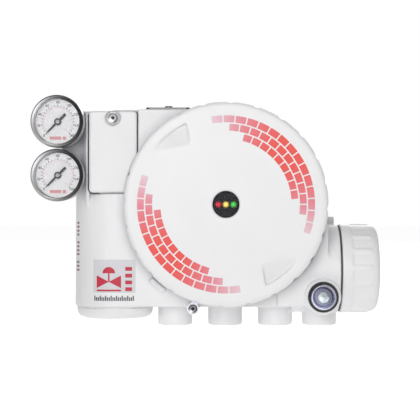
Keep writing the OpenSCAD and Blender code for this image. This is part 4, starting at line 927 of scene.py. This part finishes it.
class POSITIONER_OT_threads(bpy.types.Operator):
    """Cut the threads that show in the ports and on the necks"""

    bl_idname = "positioner.threads"
    bl_label = "Threads"

    def execute(self, context):
        bare = metal("cut_thread", (0.60, 0.61, 0.63), 0.3, size=0.3 * MM)
        ports = bmesh.new()
        up = (0, 0, 1)
        for port_x in AIR_PORTS_X:
            mouth = (port_x, CAST_AXIS_Y, PORT_END_Z + 1.2 * MM)
            add_thread(ports, mouth, up, AIR_TAP_R, 14 * MM, **AIR_THREAD)
        mouth = (CONDUIT_X, CAST_AXIS_Y, PORT_END_Z + 1.5 * MM)
        add_thread(ports, mouth, up, CONDUIT_TAP_R, 14 * MM, **CONDUIT_THREAD)
        add_piece("port_threads", ports, bare, "housing")
        necks = bmesh.new()
        start = (0, DRUM_FRONT_Y - 4 * MM, 0)
        add_thread(necks, start, (0, -1, 0), NECK_R, 14 * MM, **COVER_THREAD)
        start = (SHOULDER_X + 2.5 * MM, CAST_AXIS_Y, WIRING_Z)
        add_thread(necks, start, (1, 0, 0), CAP_NECK_R, 13 * MM, **CAP_THREAD)
        add_piece("neck_threads", necks, bare, "housing")
        return {"FINISHED"}


class POSITIONER_OT_label(bpy.types.Operator):
    """Print a plain label with a valve symbol, and small dashes, on the column"""

    bl_idname = "positioner.label"
    bl_label = "Label"

    def execute(self, context):
        look = context.scene.print_look
        red = printed_ink("label_red", look.label)
        dark = printed_ink("label_dark", (0.05, 0.05, 0.06))
        grey = printed_ink("label_film", (0.70, 0.70, 0.73))
        dashes = printed_ink("dash_ink", (0.22, 0.06, 0.08))
        lay_print("label_ground", [rectangle(*LABEL)], grey, GROUND_LIFT)
        lay_print("label_symbol", label_outlines(), red, SYMBOL_LIFT)
        lay_print("label_ticks", tick_outlines(), dark, MARK_LIFT)
        lay_print("column_dashes", dash_outlines(), dashes, MARK_LIFT)
        return {"FINISHED"}


def lay_print(name, outlines, finish, lift):
    """A printed film in the shape of outlines of (x, z) points, laid on the housing."""
    shape = bmesh.new()
    for outline in outlines:
        shape.faces.new([shape.verts.new((x, 0.0, z)) for x, z in outline])
    bmesh.ops.triangulate(shape, faces=shape.faces)
    long_edges = [edge for edge in shape.edges if edge.calc_length() > PRINT_STEP]
    while long_edges:
        bmesh.ops.subdivide_edges(shape, edges=long_edges, cuts=1)
        bmesh.ops.triangulate(shape, faces=shape.faces)
        long_edges = [edge for edge in shape.edges if edge.calc_length() > PRINT_STEP]
    lay_on_housing(shape, lift)
    film = add_piece(name, shape, finish, "housing").modifiers.new("film", "SOLIDIFY")
    film.thickness = PRINT_FILM


def label_outlines():
    """The drawing symbol of a valve with its actuator over a bar, beside a column of blocks."""
    left, right, low, _ = LABEL
    wide = right - left
    cx, cz = left + 0.37 * wide, low + 0.26 * wide
    wing, rise = 0.29 * wide, 0.15 * wide
    wings = [[(cx, cz), (cx + side * wing, cz - rise), (cx + side * wing, cz + rise)] for side in (-1, 1)]
    stem_half, dome_low, dome_r = 0.018 * wide, cz + 0.2 * wide, 0.15 * wide
    stem = rectangle(cx - stem_half, cx + stem_half, cz, dome_low)
    turns = [math.pi * i / 16 for i in range(17)]
    dome = [(cx + dome_r * math.cos(a), dome_low + dome_r * math.sin(a)) for a in turns]
    bar = rectangle(cx - wing, cx + wing, low + 0.035 * wide, low + 0.075 * wide)
    blocks = [
        rectangle(right - 0.24 * wide, right - 0.08 * wide, low + share * wide, low + (share + 0.09) * wide)
        for share in (0.04, 0.20, 0.36, 0.52)
    ]
    return [*wings, stem, dome, bar, *blocks]


def tick_outlines():
    """A row of strokes under the label, every third one longer."""
    left, right, low, high = STROKES
    step = (right - left) / STROKE_COUNT
    tops = [high - (0.3 * (high - low) if k % 3 else 0.0) for k in range(STROKE_COUNT)]
    return [rectangle(left + k * step, left + (k + 0.62) * step, low, top) for k, top in enumerate(tops)]


def dash_outlines():
    """A column of short dashes, with gaps."""
    left, right, low, high = DASHES
    step = (high - low) / DASH_COUNT
    starts = [low + k * step for k in range(DASH_COUNT) if k % 5 != 3]
    return [rectangle(left, right, start, start + 0.5 * step) for start in starts]


class POSITIONER_OT_stage(bpy.types.Operator):
    """Set the floor, the lamps, the surroundings and the camera"""

    bl_idname = "positioner.stage"
    bl_label = "Stage"

    def execute(self, context):
        look = context.scene.stage_look
        context.scene.view_settings.view_transform = "Standard"
        add_floor(look)
        set_world(context.scene, look)
        add_lamp("front_lamp", look.key, *FRONT_LAMP)
        add_lamp("top_lamp", look.fill, *TOP_LAMP)
        add_lamp("back_lamp", look.back, *BACK_LAMP)
        add_camera(context.scene)
        return {"FINISHED"}


def seen_rays(finish):
    """1 for rays from the camera, from mirrors and through glass."""
    rays = finish.node("ShaderNodeLightPath").socket.node
    camera, glossy, through = (
        Wire(finish, rays.outputs[f"Is {kind} Ray"]) for kind in ("Camera", "Glossy", "Transmission"))
    return camera.either(glossy).either(through)


def add_floor(look):
    """Pale floor under the ports, which keeps the shadow and is white where it is lit."""
    shape = bmesh.new()
    bmesh.ops.create_grid(shape, x_segments=24, y_segments=24, size=FLOOR_HALF)
    mesh = bpy.data.meshes.new("floor")
    shape.to_mesh(mesh)
    shape.free()
    finish = Finish("floor_paper", {"Roughness": 0.9, "Specular IOR Level": 0.1})
    fleck = finish.noise(finish.place(), 0.02)
    finish.feed("Base Color", finish.mix(fleck, (0.88, 0.88, 0.88, 1), (0.9, 0.9, 0.9, 1)))
    finish.shader.inputs["Emission Strength"].default_value = look.floor_lift
    glow = opaque((1, 1, 1), look.floor_glow)
    finish.feed("Emission Color", finish.mix(seen_rays(finish), glow, (1, 1, 1, 1)))
    mesh.materials.append(finish.material)
    floor = bpy.data.objects.new("floor", mesh)
    floor.location.z = BODY_LOW.z
    bpy.context.scene.collection.objects.link(floor)


class Surroundings(Finish):
    """The world's node tree, with the same ways to add to it."""

    def __init__(self, world):
        world.use_nodes = True
        self.tree = world.node_tree
        self.shader = self.tree.nodes["Background"]


def set_world(scene, look):
    """White where it is seen, and even soft light on the object."""
    scene.world = bpy.data.worlds.new("studio")
    studio = Surroundings(scene.world)
    light = opaque((1, 1, 1), look.ambient)
    studio.feed("Color", studio.mix(seen_rays(studio), light, (1, 1, 1, 1)))


def add_lamp(name, power, place, size):
    """A square soft lamp that faces the object's middle."""
    light = bpy.data.lights.new(name, "AREA")
    light.energy = power
    light.size = size
    lamp = bpy.data.objects.new(name, light)
    lamp.location = place
    lamp.rotation_euler = (-Vector(place)).to_track_quat("-Z", "Y").to_euler()
    bpy.context.scene.collection.objects.link(lamp)


def add_camera(scene):
    """Camera at the photograph's place, looking straight to the back."""
    data = bpy.data.cameras.new("camera")
    data.lens = CAMERA_LENS
    data.sensor_width = SENSOR_WIDTH
    camera = bpy.data.objects.new("camera", data)
    camera.location = CAMERA_PLACE
    camera.rotation_euler = (math.radians(90), 0, 0)
    scene.collection.objects.link(camera)
    scene.camera = camera


class POSITIONER_PT_looks(bpy.types.Panel):
    """Shows the positioner's settings and a button for each step"""

    bl_label = "Valve positioner"
    bl_space_type = "VIEW_3D"
    bl_region_type = "UI"
    bl_category = "Positioner"

    def draw(self, context):
        for settings in LOOKS:
            look = getattr(context.scene, settings)
            box = self.layout.box()
            for name in look.bl_rna.properties.keys():
                if name not in ("rna_type", "name"):
                    box.prop(look, name)
        for operator in OPERATORS:
            self.layout.operator(operator.bl_idname)


LOOKS = {
    "coat_look": CoatLook,
    "print_look": PrintLook,
    "dial_look": DialLook,
    "stage_look": StageLook,
}
OPERATORS = (
    POSITIONER_OT_castings,
    POSITIONER_OT_fittings,
    POSITIONER_OT_bowl_bead,
    POSITIONER_OT_cover_print,
    POSITIONER_OT_dials,
    POSITIONER_OT_threads,
    POSITIONER_OT_label,
    POSITIONER_OT_stage,
)
CLASSES = (*LOOKS.values(), *OPERATORS, POSITIONER_PT_looks)


def register():
    for item in CLASSES:
        bpy.utils.register_class(item)
    for name, group in LOOKS.items():
        setattr(bpy.types.Scene, name, PointerProperty(type=group))


def unregister():
    for name in LOOKS:
        delattr(bpy.types.Scene, name)
    for item in reversed(CLASSES):
        bpy.utils.unregister_class(item)


def main():
    register()
    bpy.ops.positioner.castings()
    bpy.ops.positioner.fittings()
    bpy.ops.positioner.bowl_bead()
    bpy.ops.positioner.cover_print()
    bpy.ops.positioner.dials()
    bpy.ops.positioner.threads()
    bpy.ops.positioner.label()
    bpy.ops.positioner.stage()


if __name__ == "__main__":
    main()
